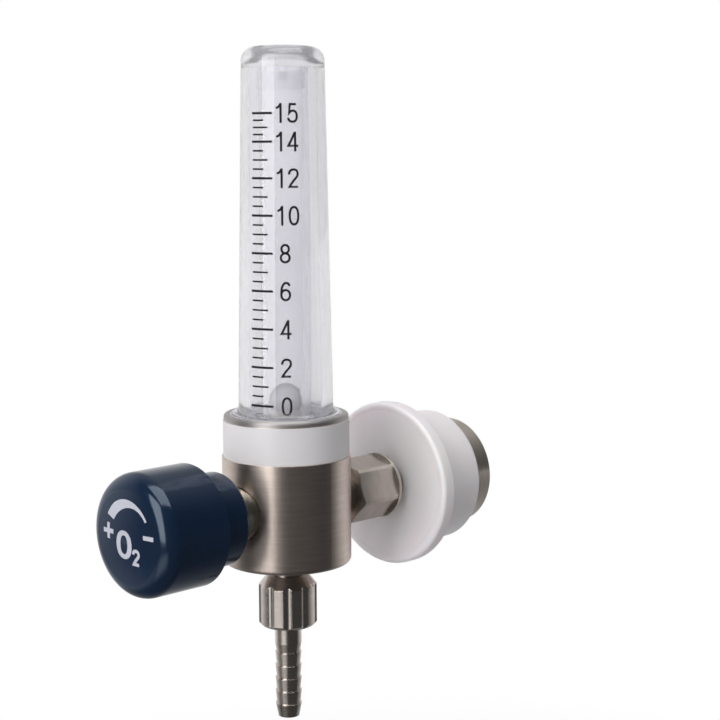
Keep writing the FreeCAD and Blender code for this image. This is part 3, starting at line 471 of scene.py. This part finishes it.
def moulded(name, colour, shade, roughness, wave=0.01 * MM, size=70.0, gloss=0.5,
            shine=(1.0, 1.0, 1.0), soft=0.0):
    """Plastic of one colour that drifts to a shade of it, with mould waviness and handling marks.
    gloss and shine are the strength and tint of its reflections, soft how much light goes in."""
    material, tree, output = new_material(name)
    place = add(tree, "TexCoord").outputs["Object"]
    touch = use_group(tree, marks, ("Place", place), Size=size)
    drift = add(tree, "TexNoise", ("Vector", place), scale=size * DRIFT_SHARE, detail=2.0)
    speckle = add(tree, "TexNoise", ("Vector", place), scale=SPECKLES_PER_METRE, detail=2.0)
    base = tint(tree, range_of(tree, drift.outputs[0], *DRIFT_RANGE, 0.0, 1.0), colour, shade)
    rough = range_of(tree, touch.outputs["Smudges"], 0.0, 1.0, roughness * CLEAN, roughness * SMUDGED)
    scratched = math_of(tree, "MULTIPLY", touch.outputs["Hairlines"], HAIRLINE_ROUGHER)
    fine = math_of(tree, "MULTIPLY", speckle.outputs[0], SPECKLE_SHARE)
    lumps = math_of(tree, "ADD", drift.outputs[0], fine)
    relief = add(tree, "Bump", ("Height", lumps), distance=wave, strength=1.0)
    shader = add(tree, "BsdfPrincipled", ("Base Color", base), ("Normal", relief.outputs[0]),
                 ("Roughness", math_of(tree, "ADD", rough, scratched)))
    shader.inputs["Specular IOR Level"].default_value = gloss
    shader.inputs["Specular Tint"].default_value = (*shine, 1.0)
    if soft > 0:
        shader.inputs["Subsurface Weight"].default_value = soft
        shader.inputs["Subsurface Radius"].default_value = DEPTH_BY_COLOUR
        shader.inputs["Subsurface Scale"].default_value = LIGHT_DEPTH
    tree.links.new(shader.outputs[0], output.inputs["Surface"])
    return material


knob_gloss = moulded("knob_navy", (0.0075, 0.0185, 0.045), (0.0065, 0.0165, 0.040), 0.14,
                     wave=0.03 * MM, gloss=0.75, shine=(0.72, 0.85, 1.0))
collar_white = moulded("collar_white", (0.88, 0.825, 0.855), (0.86, 0.84, 0.84), 0.34, soft=0.7)
film_white = moulded("label_film", (0.735, 0.712, 0.73), (0.72, 0.70, 0.712), 0.38, size=90.0)
seal_black = moulded("seal_rubber", (0.018, 0.018, 0.019), (0.028, 0.027, 0.026), 0.55,
                     wave=0.04 * MM, size=300.0)
print_black = moulded("print_black", (0.012, 0.011, 0.013), (0.018, 0.017, 0.020), 0.5,
                      size=300.0, gloss=0.15)
print_grey = moulded("print_grey", (0.50, 0.51, 0.58), (0.47, 0.48, 0.54), 0.45, size=300.0)
print("plastics made")

# %% [markdown]
# ## Clear plastic
# The two tubes and their cap are clear plastic with a faint lavender cast. The shader bends most of
# the light through them and scatters the rest, a light haze without which they would vanish before
# white. The dome on top looks a little frosted, so the surface grows rougher over its last
# millimetres. Lamps would cast dark shadows through such a surface, because the renderer doesn't
# follow bent light to a lamp, so for shadow rays the surface is swapped for a plain transparent one.
# A very weak waviness makes the reflections swim as on moulded parts.

# %% Clear plastic
BENDING = 1.49
LET_THROUGH = 0.89
RIPPLE_STRETCH = (1.0, 1.0, 0.25)
RIPPLES_PER_METRE, RIPPLE_RANGE = 130.0, (0.3, 0.7)
CALM, RIPPLED = 0.6, 1.4
DOME_BAND = (cover_top - 7.0 * MM, cover_top - 3.5 * MM)
DOME_ROUGHER = 0.12
SHADOW_TINT = (0.93, 0.93, 0.95, 1.0)


def clear_plastic(name, colour, roughness, wave):
    """Refracting plastic of that tint that lets lamp light straight through."""
    material, tree, output = new_material(name)
    place = add(tree, "TexCoord").outputs["Object"]
    flow = add(tree, "Mapping", ("Vector", place))
    flow.inputs["Scale"].default_value = RIPPLE_STRETCH
    ripple = add(tree, "TexNoise", ("Vector", flow.outputs[0]), scale=RIPPLES_PER_METRE, detail=2.0)
    relief = add(tree, "Bump", ("Height", ripple.outputs[0]), distance=wave, strength=1.0)
    rough = range_of(tree, ripple.outputs[0], *RIPPLE_RANGE, roughness * CALM, roughness * RIPPLED)
    height = add(tree, "SeparateXYZ", ("Vector", place)).outputs["Z"]
    frosted = range_of(tree, height, *DOME_BAND, 0.0, DOME_ROUGHER)
    shader = add(tree, "BsdfPrincipled", ("Roughness", math_of(tree, "ADD", rough, frosted)),
                 ("Normal", relief.outputs[0]), transmission_weight=LET_THROUGH, ior=BENDING)
    shader.inputs["Base Color"].default_value = (*colour, 1.0)
    through = add(tree, "BsdfTransparent")
    through.inputs["Color"].default_value = SHADOW_TINT
    path = add(tree, "LightPath")
    mix = add(tree, "MixShader", (0, path.outputs["Is Shadow Ray"]), (1, shader.outputs[0]),
              (2, through.outputs[0]))
    tree.links.new(mix.outputs[0], output.inputs["Surface"])
    return material


tube_clear = clear_plastic("tube_clear", (0.95, 0.945, 0.965), 0.035, 0.04 * MM)
inner_clear = clear_plastic("inner_clear", (0.965, 0.96, 0.975), 0.05, 0.03 * MM)
print("clear plastic made")

# %% [markdown]
# ## Giving the CAD nodes their finish
# A CAD node keeps its mesh and its place. Only the material in its slots changes.

# %% Assign
finishes = {
    block_metal: ["body"],
    nut_metal: ["outlet_nut", "hose_barb", "outlet_stud"],
    bonnet_metal: ["valve_bonnet"],
    union_metal: ["inlet_nipple", "union_nut", "tailpiece"],
    bell_metal: ["probe_bell", "probe_nose", "float_seat"],
    ball_metal: ["float_ball"],
    valve_brass: ["valve_seat", "valve_spindle", "filter_ring"],
    screw_metal: ["knob_screw", "stem_clip"],
    filter_metal: ["inlet_filter"],
    knob_gloss: ["knob", "knob_cap"],
    collar_white: ["probe_collar"],
    film_white: ["label_band"],
    seal_black: ["outer_tube_o_ring", "metering_tube_o_ring", "union_washer", "nose_o_ring",
                 "bonnet_o_ring", "spindle_o_ring", "barb_o_ring"],
    tube_clear: ["outer_tube"],
    inner_clear: ["metering_tube", "tube_top_cap", "tube_top_washer"],
}
for material, names in finishes.items():
    for name in names:
        slots = nodes[name].data.materials
        for index in range(len(slots)):
            slots[index] = material
        if not len(slots):
            slots.append(material)
dressed = sum(len(names) for names in finishes.values())
print("nodes with a finish:", dressed, "of", len(nodes))

# %% [markdown]
# ## Strokes that can be printed
# The figures on the scale are drawn as strokes: a path down the middle of each line of a figure,
# made into a band of even width. Text in a ready font would also do, but its outlines can't be
# given the narrow, light build of these figures. Each path is written for a figure that is one unit
# high and stands on the line, with x = 0 in its middle.

# %% Paths for the figures
STROKE = 0.115
FIGURE_WIDTH, FIGURE_GAP = 0.56, 0.10
W = (FIGURE_WIDTH - STROKE) / 2
TOP = 1 - STROKE / 2
FOOT = STROKE / 2


def curve(*points, steps=24):
    """A Bezier curve of any order: repeated linear blends between its points, for all steps at once."""
    t = np.linspace(0, 1, steps)[:, None, None]
    rows = np.array(points, float)[None, :, :].repeat(steps, 0)
    while rows.shape[1] > 1:
        rows = rows[:, :-1] * (1 - t) + rows[:, 1:] * t
    return rows[:, 0]


def loop(centre, half_wide, half_high, power=2.0, steps=72):
    """A closed rounded shape: x and y follow cosine and sine, each raised to 2 over power."""
    t = np.linspace(0, 2 * math.pi, steps, endpoint=False)
    x = np.sign(np.cos(t)) * np.abs(np.cos(t)) ** (2 / power)
    y = np.sign(np.sin(t)) * np.abs(np.sin(t)) ** (2 / power)
    return np.stack([centre[0] + half_wide * x, centre[1] + half_high * y], 1)


def chain(*pieces):
    """Joins point lists and drops points that repeat."""
    points = np.concatenate([np.atleast_2d(np.array(p, float)) for p in pieces])
    keep = np.r_[True, np.linalg.norm(np.diff(points, axis=0), axis=1) > 1e-6]
    return points[keep]


# Each figure is a list of strokes, and each stroke a path and whether it is closed.
FIGURES = {
    "0": [(loop((0, 0.5), W, 0.5 - FOOT, 2.3), True)],
    "1": [(chain((0.05, 0), (0.05, 1)), False),
          (chain((-0.20, 0.765), curve((-0.13, 0.765), (-0.03, 0.80), (0.05, 0.985))), False)],
    "2": [(chain(curve((-W, 0.69), (-W, 0.84), (-0.16, TOP), (0, TOP)),
                 curve((0, TOP), (0.16, TOP), (W, 0.86), (W, 0.71)),
                 curve((W, 0.71), (W, 0.53), (-0.02, 0.42), (-W + 0.015, FOOT)), (W, FOOT)), False)],
    "4": [(chain((0.115, 0), (0.115, 1)), False),
          (chain((0.10, 0.955), (-W - 0.01, 0.285), (W + 0.055, 0.285)), False)],
    "5": [(chain((0.19, TOP), (-0.135, TOP), (-0.175, 0.50),
                 curve((-0.175, 0.50), (-0.10, 0.60), (-0.03, 0.615), (0.02, 0.615)),
                 curve((0.02, 0.615), (0.16, 0.615), (W, 0.50), (W, 0.335)),
                 curve((W, 0.335), (W, 0.16), (0.14, FOOT), (0, FOOT)),
                 curve((0, FOOT), (-0.12, FOOT), (-W + 0.01, 0.12), (-W, 0.25))), False)],
    "6": [(loop((0, 0.315), W, 0.2575, 2.1), True),
          (chain(curve((-W, 0.32), (-W - 0.01, 0.66), (-0.15, TOP), (0.03, TOP)),
                 curve((0.03, TOP), (0.12, TOP), (0.18, 0.89), (0.195, 0.78))), False)],
    "8": [(loop((0, 0.735), 0.19, 0.2075, 2.1), True), (loop((0, 0.285), W, 0.2275, 2.1), True)],
}
print("figures:", " ".join(FIGURES))

# %% [markdown]
# ## From a path to a printed band
# The band's two sides are the path's points moved to the left and the right, and at a corner both
# are moved along its bisector. Ink has almost no thickness, but it is a real layer on the skin, so
# each band becomes a closed slab a few hundredths of a millimetre thick. Its outline is first worked
# out in the plane of the print, and a second function then lays every point on the real surface.

# %% Bands and slabs
LEAST_COSINE = 0.35


def band_sides(path, closed, width):
    """Left and right sides: each point moves half the width along its corner's bisector, lengthened
    by one over the cosine of half the turn so that the band keeps its width."""
    ahead = np.roll(path, -1, 0) - path
    behind = path - np.roll(path, 1, 0)
    if not closed:
        ahead[-1], behind[0] = behind[-1], ahead[0]
    ahead /= np.linalg.norm(ahead, axis=1)[:, None]
    behind /= np.linalg.norm(behind, axis=1)[:, None]
    normal = np.stack([-(ahead + behind)[:, 1], (ahead + behind)[:, 0]], 1)
    normal /= np.maximum(np.linalg.norm(normal, axis=1), 1e-9)[:, None]
    square = np.stack([-ahead[:, 1], ahead[:, 0]], 1)
    stretch = 1 / np.maximum((normal * square).sum(1), LEAST_COSINE)
    shift = normal * (width / 2 * stretch)[:, None]
    return path + shift, path - shift


def slab(left, right, closed, lift, lay):
    """A closed slab from a band. Four rails run along it: left and right at the skin, right and left
    at the ink's top. lay(points, height) puts flat points on the surface at that height over it."""
    rails = [lay(left, lift[0]), lay(right, lift[0]), lay(right, lift[1]), lay(left, lift[1])]
    count = len(left)
    points = np.concatenate(rails)
    along = np.arange(count if closed else count - 1)
    after = (along + 1) % count
    quads = []
    for rail in range(4):
        other = (rail + 1) % 4
        quads.append(np.stack([rail * count + along, rail * count + after,
                               other * count + after, other * count + along], 1))
    if not closed:
        ends = np.array([0, 1, 2, 3]) * count
        quads.append(np.stack([ends, ends[::-1] + count - 1]))
    return points, np.concatenate(quads)


def mesh_object(name, shells, material, body):
    """Makes one mesh object of (points, quads) shells, with outward faces, that rides on a CAD body."""
    start, points, faces = 0, [], []
    for shell_points, shell_faces in shells:
        points.append(shell_points)
        faces.append(shell_faces + start)
        start += len(shell_points)
    mesh = bpy.data.meshes.new(name)
    mesh.from_pydata(np.concatenate(points).tolist(), [], np.concatenate(faces).tolist())
    mesh.materials.append(material)
    work = bmesh.new()
    work.from_mesh(mesh)
    bmesh.ops.recalc_face_normals(work, faces=work.faces)
    work.to_mesh(mesh)
    work.free()
    piece = bpy.data.objects.new(name, mesh)
    bpy.context.scene.collection.objects.link(piece)
    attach(piece, body)
    print(name, "has", len(mesh.polygons), "faces")


print("slab helpers ready")

# %% [markdown]
# ## The scale on the tube
# The scale is printed on the outside of the cover, which is a cone: a little narrower at the top.
# A flat point is laid on it by turning round the axis by its distance over the radius. Long ticks
# stand at the figures, and short, middle and short ticks divide each step. The tube's bore widens
# upwards, so the steps of flow are not evenly spaced, and the levels are given one by one.

# %% Laying points on the cover
# Radius and height of the cover's skin at its foot and at its top
SKIN_FOOT, SKIN_TOP = (12.8 * MM, 27.6 * MM), (11.05 * MM, 118.9 * MM)
# Heights over the skin of the ink's underside and top
INK = (0.002 * MM, 0.03 * MM)
STROKE_STEP = 0.003 * MM
FACING = math.radians(-44.9)


def skin_radius(z):
    """Radius of the cover's cone at height z: a straight line between its foot and its top."""
    share = (z - SKIN_FOOT[1]) / (SKIN_TOP[1] - SKIN_FOOT[1])
    return SKIN_FOOT[0] + share * (SKIN_TOP[0] - SKIN_FOOT[0])


def lay_on_tube(angle, level_z):
    """Returns a function that lays flat points, x to the right and y up, round the cone."""
    def lay(points, height):
        z = level_z + points[:, 1]
        radius = skin_radius(z) + height
        turn_angle = FACING + angle + points[:, 0] / skin_radius(level_z)
        return np.stack([radius * np.cos(turn_angle), tube_axis_y + radius * np.sin(turn_angle), z], 1)
    return lay


print("cover's radius below the scale: %.2f mm" % (skin_radius(SKIN_FOOT[1]) / MM))

# %% [markdown]
# ## Ticks and numbers
# A tick is a bar that runs round the cover over an angle of its kind, and the finer ticks start a
# little further in. A number is set from its right edge, which lies at one angle for numbers of one
# figure and at another for numbers of two. Where two strokes of a figure cross, the second is a few
# thousandths of a millimetre higher, so that no two faces share a plane.

# %% The scale
# Millimetres above the probe's axis
LEVELS = {"0": 28.9, "2": 39.1, "4": 49.2, "6": 59.2, "8": 69.05, "10": 78.85, "12": 88.5,
          "14": 97.9, "15": 105.2}
FIGURE_HEIGHT = 5.05 * MM
NUMBER_END = {1: math.radians(10.2), 2: math.radians(22.0)}
TICK_START = math.radians(-42.6)
INDENT = math.radians(1.6)
TICK_SPANS = {"long": math.radians(30.4), "middle": math.radians(22.5), "short": math.radians(16.2)}
LONG_TICK, FINE_TICK = 0.60 * MM, 0.44 * MM
BETWEEN = ((0.25, "short"), (0.5, "middle"), (0.75, "short"))
TICK_STEPS = 16


def tick(kind, start, z, thickness):
    """A bar from that angle, at height z. Its width is the angle of its kind times the radius."""
    x = np.linspace(0, TICK_SPANS[kind] * skin_radius(z), TICK_STEPS)
    upper = np.stack([x, np.full_like(x, thickness / 2)], 1)
    lower = np.stack([x, np.full_like(x, -thickness / 2)], 1)
    return slab(upper, lower, False, INK, lay_on_tube(start, z))


def number_shells(text, lay):
    """All strokes of a number whose last figure ends at x = 0, from the last figure to the first."""
    shells, advance = [], 0.0
    for figure in reversed(text):
        centre = -(FIGURE_WIDTH / 2 + advance) * FIGURE_HEIGHT
        advance += FIGURE_WIDTH + FIGURE_GAP
        for layer, (path, closed) in enumerate(FIGURES[figure]):
            moved = path * FIGURE_HEIGHT + np.array([centre, -FIGURE_HEIGHT / 2])
            left, right = band_sides(moved, closed, STROKE * FIGURE_HEIGHT)
            shells.append(slab(left, right, closed, (INK[0], INK[1] + layer * STROKE_STEP), lay))
    return shells


ticks, figures = [], []
labels = list(LEVELS)
for label, upper in zip(labels, labels[1:] + [None]):
    level_z = LEVELS[label] * MM
    ticks.append(tick("long", TICK_START, level_z, LONG_TICK))
    figures += number_shells(label, lay_on_tube(NUMBER_END[len(label)], level_z))
    if upper is None:
        continue
    for share, kind in BETWEEN:
        z = (LEVELS[label] + share * (LEVELS[upper] - LEVELS[label])) * MM
        ticks.append(tick(kind, TICK_START + INDENT, z, FINE_TICK))
mesh_object("scale_ticks", ticks, print_black, "meter")
mesh_object("scale_figures", figures, print_black, "meter")

# %% [markdown]
# ## The marks on the knob
# A wedge bent into an arc says which way opens the valve: it is wide at the plus and narrow at the
# minus, and is the band between two curves. The sign of the gas stands below. They are pad-printed
# in a pale bluish grey. The face bulges a little, as part of a large ball, so a flat point is moved
# back by how far that ball has fallen away at its distance from the middle. The ink stands only a
# hundredth of a millimetre proud.

# %% The knob's marks
FACE_CURVE = 120.0 * MM
KNOB_INK = (0.001 * MM, 0.010 * MM)
SIGN_STEP = 0.001 * MM
BAR_STEPS = 9
# Millimetres from the face's middle, in the next three tables and in the small 2's size and foot
WEDGE_OUTER = ((-7.51, 5.22), (-4.16, 11.65), (4.60, 11.17), (8.33, 5.42))
WEDGE_INNER = ((-4.81, 4.09), (-2.11, 8.48), (4.47, 9.66), (7.64, 5.16))
# The plus's level and upright bars, and the minus: middle, length, width and slope in degrees
SIGN_BARS = (((-7.18, 0.90), 4.35, 1.16, 1.5), ((-7.18, 0.96), 4.15, 1.16, 90.0),
             ((8.88, 1.37), 3.75, 1.12, 1.5))
RING_MIDDLE = (-0.62 * MM, -1.68 * MM)
RING_OUTER, RING_INNER, RING_POWER = (3.12 * MM, 3.62 * MM), (1.42 * MM, 2.42 * MM), 2.2
SMALL_TWO_SIZE, SMALL_TWO_FOOT, SMALL_TWO_BAND = (4.60, 3.90), (4.10, -6.23), 0.86 * MM


def lay_on_knob(points, height):
    """Places flat points, x to the right and y up, on the ball-shaped face, height in front of it."""
    fall = FACE_CURVE - np.sqrt(FACE_CURVE ** 2 - (points ** 2).sum(1))
    return np.stack([points[:, 0], knob_face + fall - height, points[:, 1]], 1)


def flat_bar(centre, length, width, slope):
    """Both sides of a straight bar, cut in steps so that it can follow the bulge."""
    run = np.array([math.cos(slope), math.sin(slope)])
    up = np.array([-run[1], run[0]])
    path = np.array(centre) + np.linspace(-length / 2, length / 2, BAR_STEPS)[:, None] * run
    return path + up * width / 2, path - up * width / 2


wedge = curve(*WEDGE_OUTER, steps=48) * MM, curve(*WEDGE_INNER, steps=48) * MM
shells = [slab(*wedge, False, KNOB_INK, lay_on_knob)]
for step, ((x, y), length, width, slope) in enumerate(SIGN_BARS):
    sides = flat_bar((x * MM, y * MM), length * MM, width * MM, math.radians(slope))
    lift = (KNOB_INK[0], KNOB_INK[1] - step * SIGN_STEP)
    shells.append(slab(*sides, False, lift, lay_on_knob))
ring = [loop(RING_MIDDLE, *size, RING_POWER) for size in (RING_OUTER, RING_INNER)]
shells.append(slab(*ring, True, KNOB_INK, lay_on_knob))
for path, closed in FIGURES["2"]:
    moved = path * np.array(SMALL_TWO_SIZE) * MM + np.array(SMALL_TWO_FOOT) * MM
    shells.append(slab(*band_sides(moved, closed, SMALL_TWO_BAND), closed, KNOB_INK, lay_on_knob))
mesh_object("knob_marks", shells, print_grey, "valve_knob")

# %% [markdown]
# ## The floor
# The object hangs free over a white floor, far enough below that nothing touches. Near the object
# the camera sees a plain pale surface with a glow of its own, where the soft shadow falls. Further
# out it turns into pure white, so that floor and background meet without a line.

# %% Floor, as the camera sees it
FLOOR_DROP, REACH = 0.12, 6.0
PALE = (0.50, 0.50, 0.51, 1.0)
NEAR_GLOW = 0.52
# A ramp gives where it starts and ends, in metres, and its level at both
FADE = (0.16, 0.32, 0.0, 1.0)

floor_z = cad_bounds[0][2] - FLOOR_DROP
corners = [(-REACH, -REACH, floor_z), (REACH, -REACH, floor_z), (REACH, REACH, floor_z),
           (-REACH, REACH, floor_z)]
floor_mesh = bpy.data.meshes.new("floor")
floor_mesh.from_pydata(corners, [], [(0, 1, 2, 3)])
floor = bpy.data.objects.new("floor", floor_mesh)
bpy.context.scene.collection.objects.link(floor)

material, tree, output = new_material("floor_white")
place = add(tree, "TexCoord").outputs["Object"]
flat_place = add(tree, "Mapping", ("Vector", place))
flat_place.inputs["Scale"].default_value = (1.0, 1.0, 0.0)
far = length_of(tree, flat_place.outputs[0])
pale = add(tree, "BsdfDiffuse")
pale.inputs["Color"].default_value = PALE
near_glow = add(tree, "Emission", strength=NEAR_GLOW)
near_floor = add(tree, "AddShader", (0, pale.outputs[0]), (1, near_glow.outputs[0]))
far_floor = add(tree, "Emission", strength=1.0)
seen = add(tree, "MixShader", (0, range_of(tree, far, *FADE)), (1, near_floor.outputs[0]),
           (2, far_floor.outputs[0]))
print("floor at z = %.1f mm" % (floor_z / MM))

# %% [markdown]
# ## What metal and plastic see of the floor
# The lower half of the turned block mirrors the floor, and the photograph's bands show how bright
# that floor was: dark near the object, brighter behind it, with two bright pools, one to the left of
# the camera and a weaker one at the far left. A sector of a ring draws each pool. Rays that were
# bent through clear plastic see an even grey instead, and light that bounces sees the pale surface.

# %% Floor, in reflections
# A pool gives its angle, its outer and inner half-widths in degrees, and its level
SHINE = (-0.05, 0.38, 0.05, 0.85)
POOLS = ((9, 30, 14, 0.84), (-60, 55, 30, 0.26))
POOL_START, POOL_END = (0.24, 0.34, 0.0, 1.0), (0.47, 0.60, 1.0, 0.0)
BENT_LEVEL = 0.78

AWAY = (-math.sin(AROUND), math.cos(AROUND), 0.0)
depth = agreement(tree, place, AWAY)
centred = add(tree, "Mapping", ("Vector", flat_place.outputs[0]))
centred.inputs["Location"].default_value = (0.0, -tube_axis_y, 0.0)
outward = add(tree, "VectorMath", (0, centred.outputs[0]), operation="NORMALIZE").outputs[0]


def sector(around, edge, full, level):
    """Level in a sector of the floor round that angle, fading between the two half-widths in degrees."""
    a = math.radians(around)
    limits = math.cos(math.radians(edge)), math.cos(math.radians(full))
    return range_of(tree, agreement(tree, outward, (math.sin(a), -math.cos(a), 0.0)), *limits, 0.0, level)


pools = math_of(tree, "ADD", *(sector(*pool) for pool in POOLS))
for ramp in (POOL_START, POOL_END):
    pools = math_of(tree, "MULTIPLY", pools, range_of(tree, far, *ramp))
shine = math_of(tree, "ADD", range_of(tree, depth, *SHINE), pools)
mirrored = add(tree, "Emission", ("Strength", shine))
bent = add(tree, "Emission", strength=BENT_LEVEL)
path = add(tree, "LightPath")
pick = pale
for kind, look in (("Camera", seen), ("Transmission", bent), ("Glossy", mirrored)):
    pick = add(tree, "MixShader", (0, path.outputs["Is %s Ray" % kind]), (1, pick.outputs[0]),
               (2, look.outputs[0]))
tree.links.new(pick.outputs[0], output.inputs["Surface"])
floor_mesh.materials.append(material)
print("floor material has", len(tree.nodes), "nodes")

# %% [markdown]
# ## The world round it
# The world is white where the camera looks at it. For reflections it is a dark room with a bright
# wall behind the object and a soft glow at the far left, so that metal has something dark to show.
# Seen through clear plastic it is a light grey, which gives the tube its body. The light that fills
# the shadows comes mostly from the knob's side and from above.

# %% World
# Two directions agree by 1 where they are the same and by -1 where they are opposite. A ramp gives
# the agreement at its start and end, and its level at both.
WALLS, SWEEP = (0.0, 0.55, 0.03, 0.40), (0.82, 0.97, 0.0, 0.48)
GLOW_AT, GLOW = (-78, 12), (0.72, 0.98, 0.0, 0.38)
FILL_AT, FILL = (-20, 32), (-0.4, 0.9, 0.08, 0.54)
THROUGH_CLEAR = (-0.3, 0.85, 0.68, 0.82)

world = bpy.data.worlds.new("studio")
bpy.context.scene.world = world
world.use_nodes = True
tree = world.node_tree
tree.nodes.clear()
output = add(tree, "OutputWorld")
direction = add(tree, "TexCoord").outputs["Generated"]


def unit_at(around, above):
    """The direction at those angles in degrees, from the object. 0 around is the knob's side."""
    a, e = math.radians(around), math.radians(above)
    return math.sin(a) * math.cos(e), -math.cos(a) * math.cos(e), math.sin(e)


def choose(level, is_kind, other):
    """level where is_kind is 0 and other where it is 1."""
    node = add(tree, "Mix", data_type="FLOAT")
    for index, value in ((0, is_kind), (2, level), (3, other)):
        if isinstance(value, float):
            node.inputs[index].default_value = value
        else:
            tree.links.new(value, node.inputs[index])
    return node.outputs[0]


behind = agreement(tree, direction, AWAY)
glow = range_of(tree, agreement(tree, direction, unit_at(*GLOW_AT)), *GLOW)
room = math_of(tree, "ADD", range_of(tree, behind, *WALLS), range_of(tree, behind, *SWEEP))
room = math_of(tree, "ADD", room, glow)
path = add(tree, "LightPath")
level = range_of(tree, agreement(tree, direction, unit_at(*FILL_AT)), *FILL)
level = choose(level, path.outputs["Is Glossy Ray"], room)
level = choose(level, path.outputs["Is Transmission Ray"], range_of(tree, behind, *THROUGH_CLEAR))
level = choose(level, path.outputs["Is Camera Ray"], 1.0)
sky = add(tree, "Background", ("Strength", level))
sky.inputs["Color"].default_value = (1.0, 1.0, 1.0, 1.0)
tree.links.new(sky.outputs[0], output.inputs["Surface"])
print("world has", len(tree.nodes), "nodes")

# %% [markdown]
# ## The lamps
# Three soft-boxes light the object, and the places of the first two can be read from the reflections
# in the photograph: a broad one overhead, a little to the right, and a tall one well to the left of
# the camera. The third is a wide panel at the far left that lights the knob's side. It isn't
# mirrored, because its sharp edge would show on the knob, and the world's glow stands in for it
# there. None is seen by the camera or through the plastic. A lamp is placed by its angle round the
# object, its height angle and its distance, and turned to face the object.

# %% Soft-boxes
# Angle round the object and height angle in degrees, distance and size in metres, watts, mirrored
SOFT_BOXES = {
    "overhead": (76, 77, 0.9, (0.9, 0.7), 5.0, True),
    "tall_left": (7, 14, 1.0, (0.62, 1.3), 8.2, True),
    "left_panel": (-58, -3, 1.1, (1.7, 0.9), 2.4, False),
}
LIT_POINT = Vector((0.0, tube_axis_y, 20 * MM))

for name, (around, above, distance, size, watts, mirrored) in SOFT_BOXES.items():
    direction = Vector(unit_at(around, above))
    lamp = bpy.data.objects.new(name, bpy.data.lights.new(name, "AREA"))
    lamp.data.shape = "RECTANGLE"
    lamp.data.size, lamp.data.size_y = size
    lamp.data.energy = watts
    turn = direction.to_track_quat("Z", "Y").to_matrix().to_4x4()
    lamp.matrix_world = Matrix.Translation(LIT_POINT + direction * distance) @ turn
    lamp.visible_camera = False
    lamp.visible_transmission = False
    lamp.visible_glossy = mirrored
    bpy.context.scene.collection.objects.link(lamp)
    print(name, "shines with", round(watts / (size[0] * size[1] * math.pi), 2), "W per m2 and sr")

# %% [markdown]
# ## The end
# The visual model has to stay inside the CAD model's box.

# %% Finish
print("scene ready")
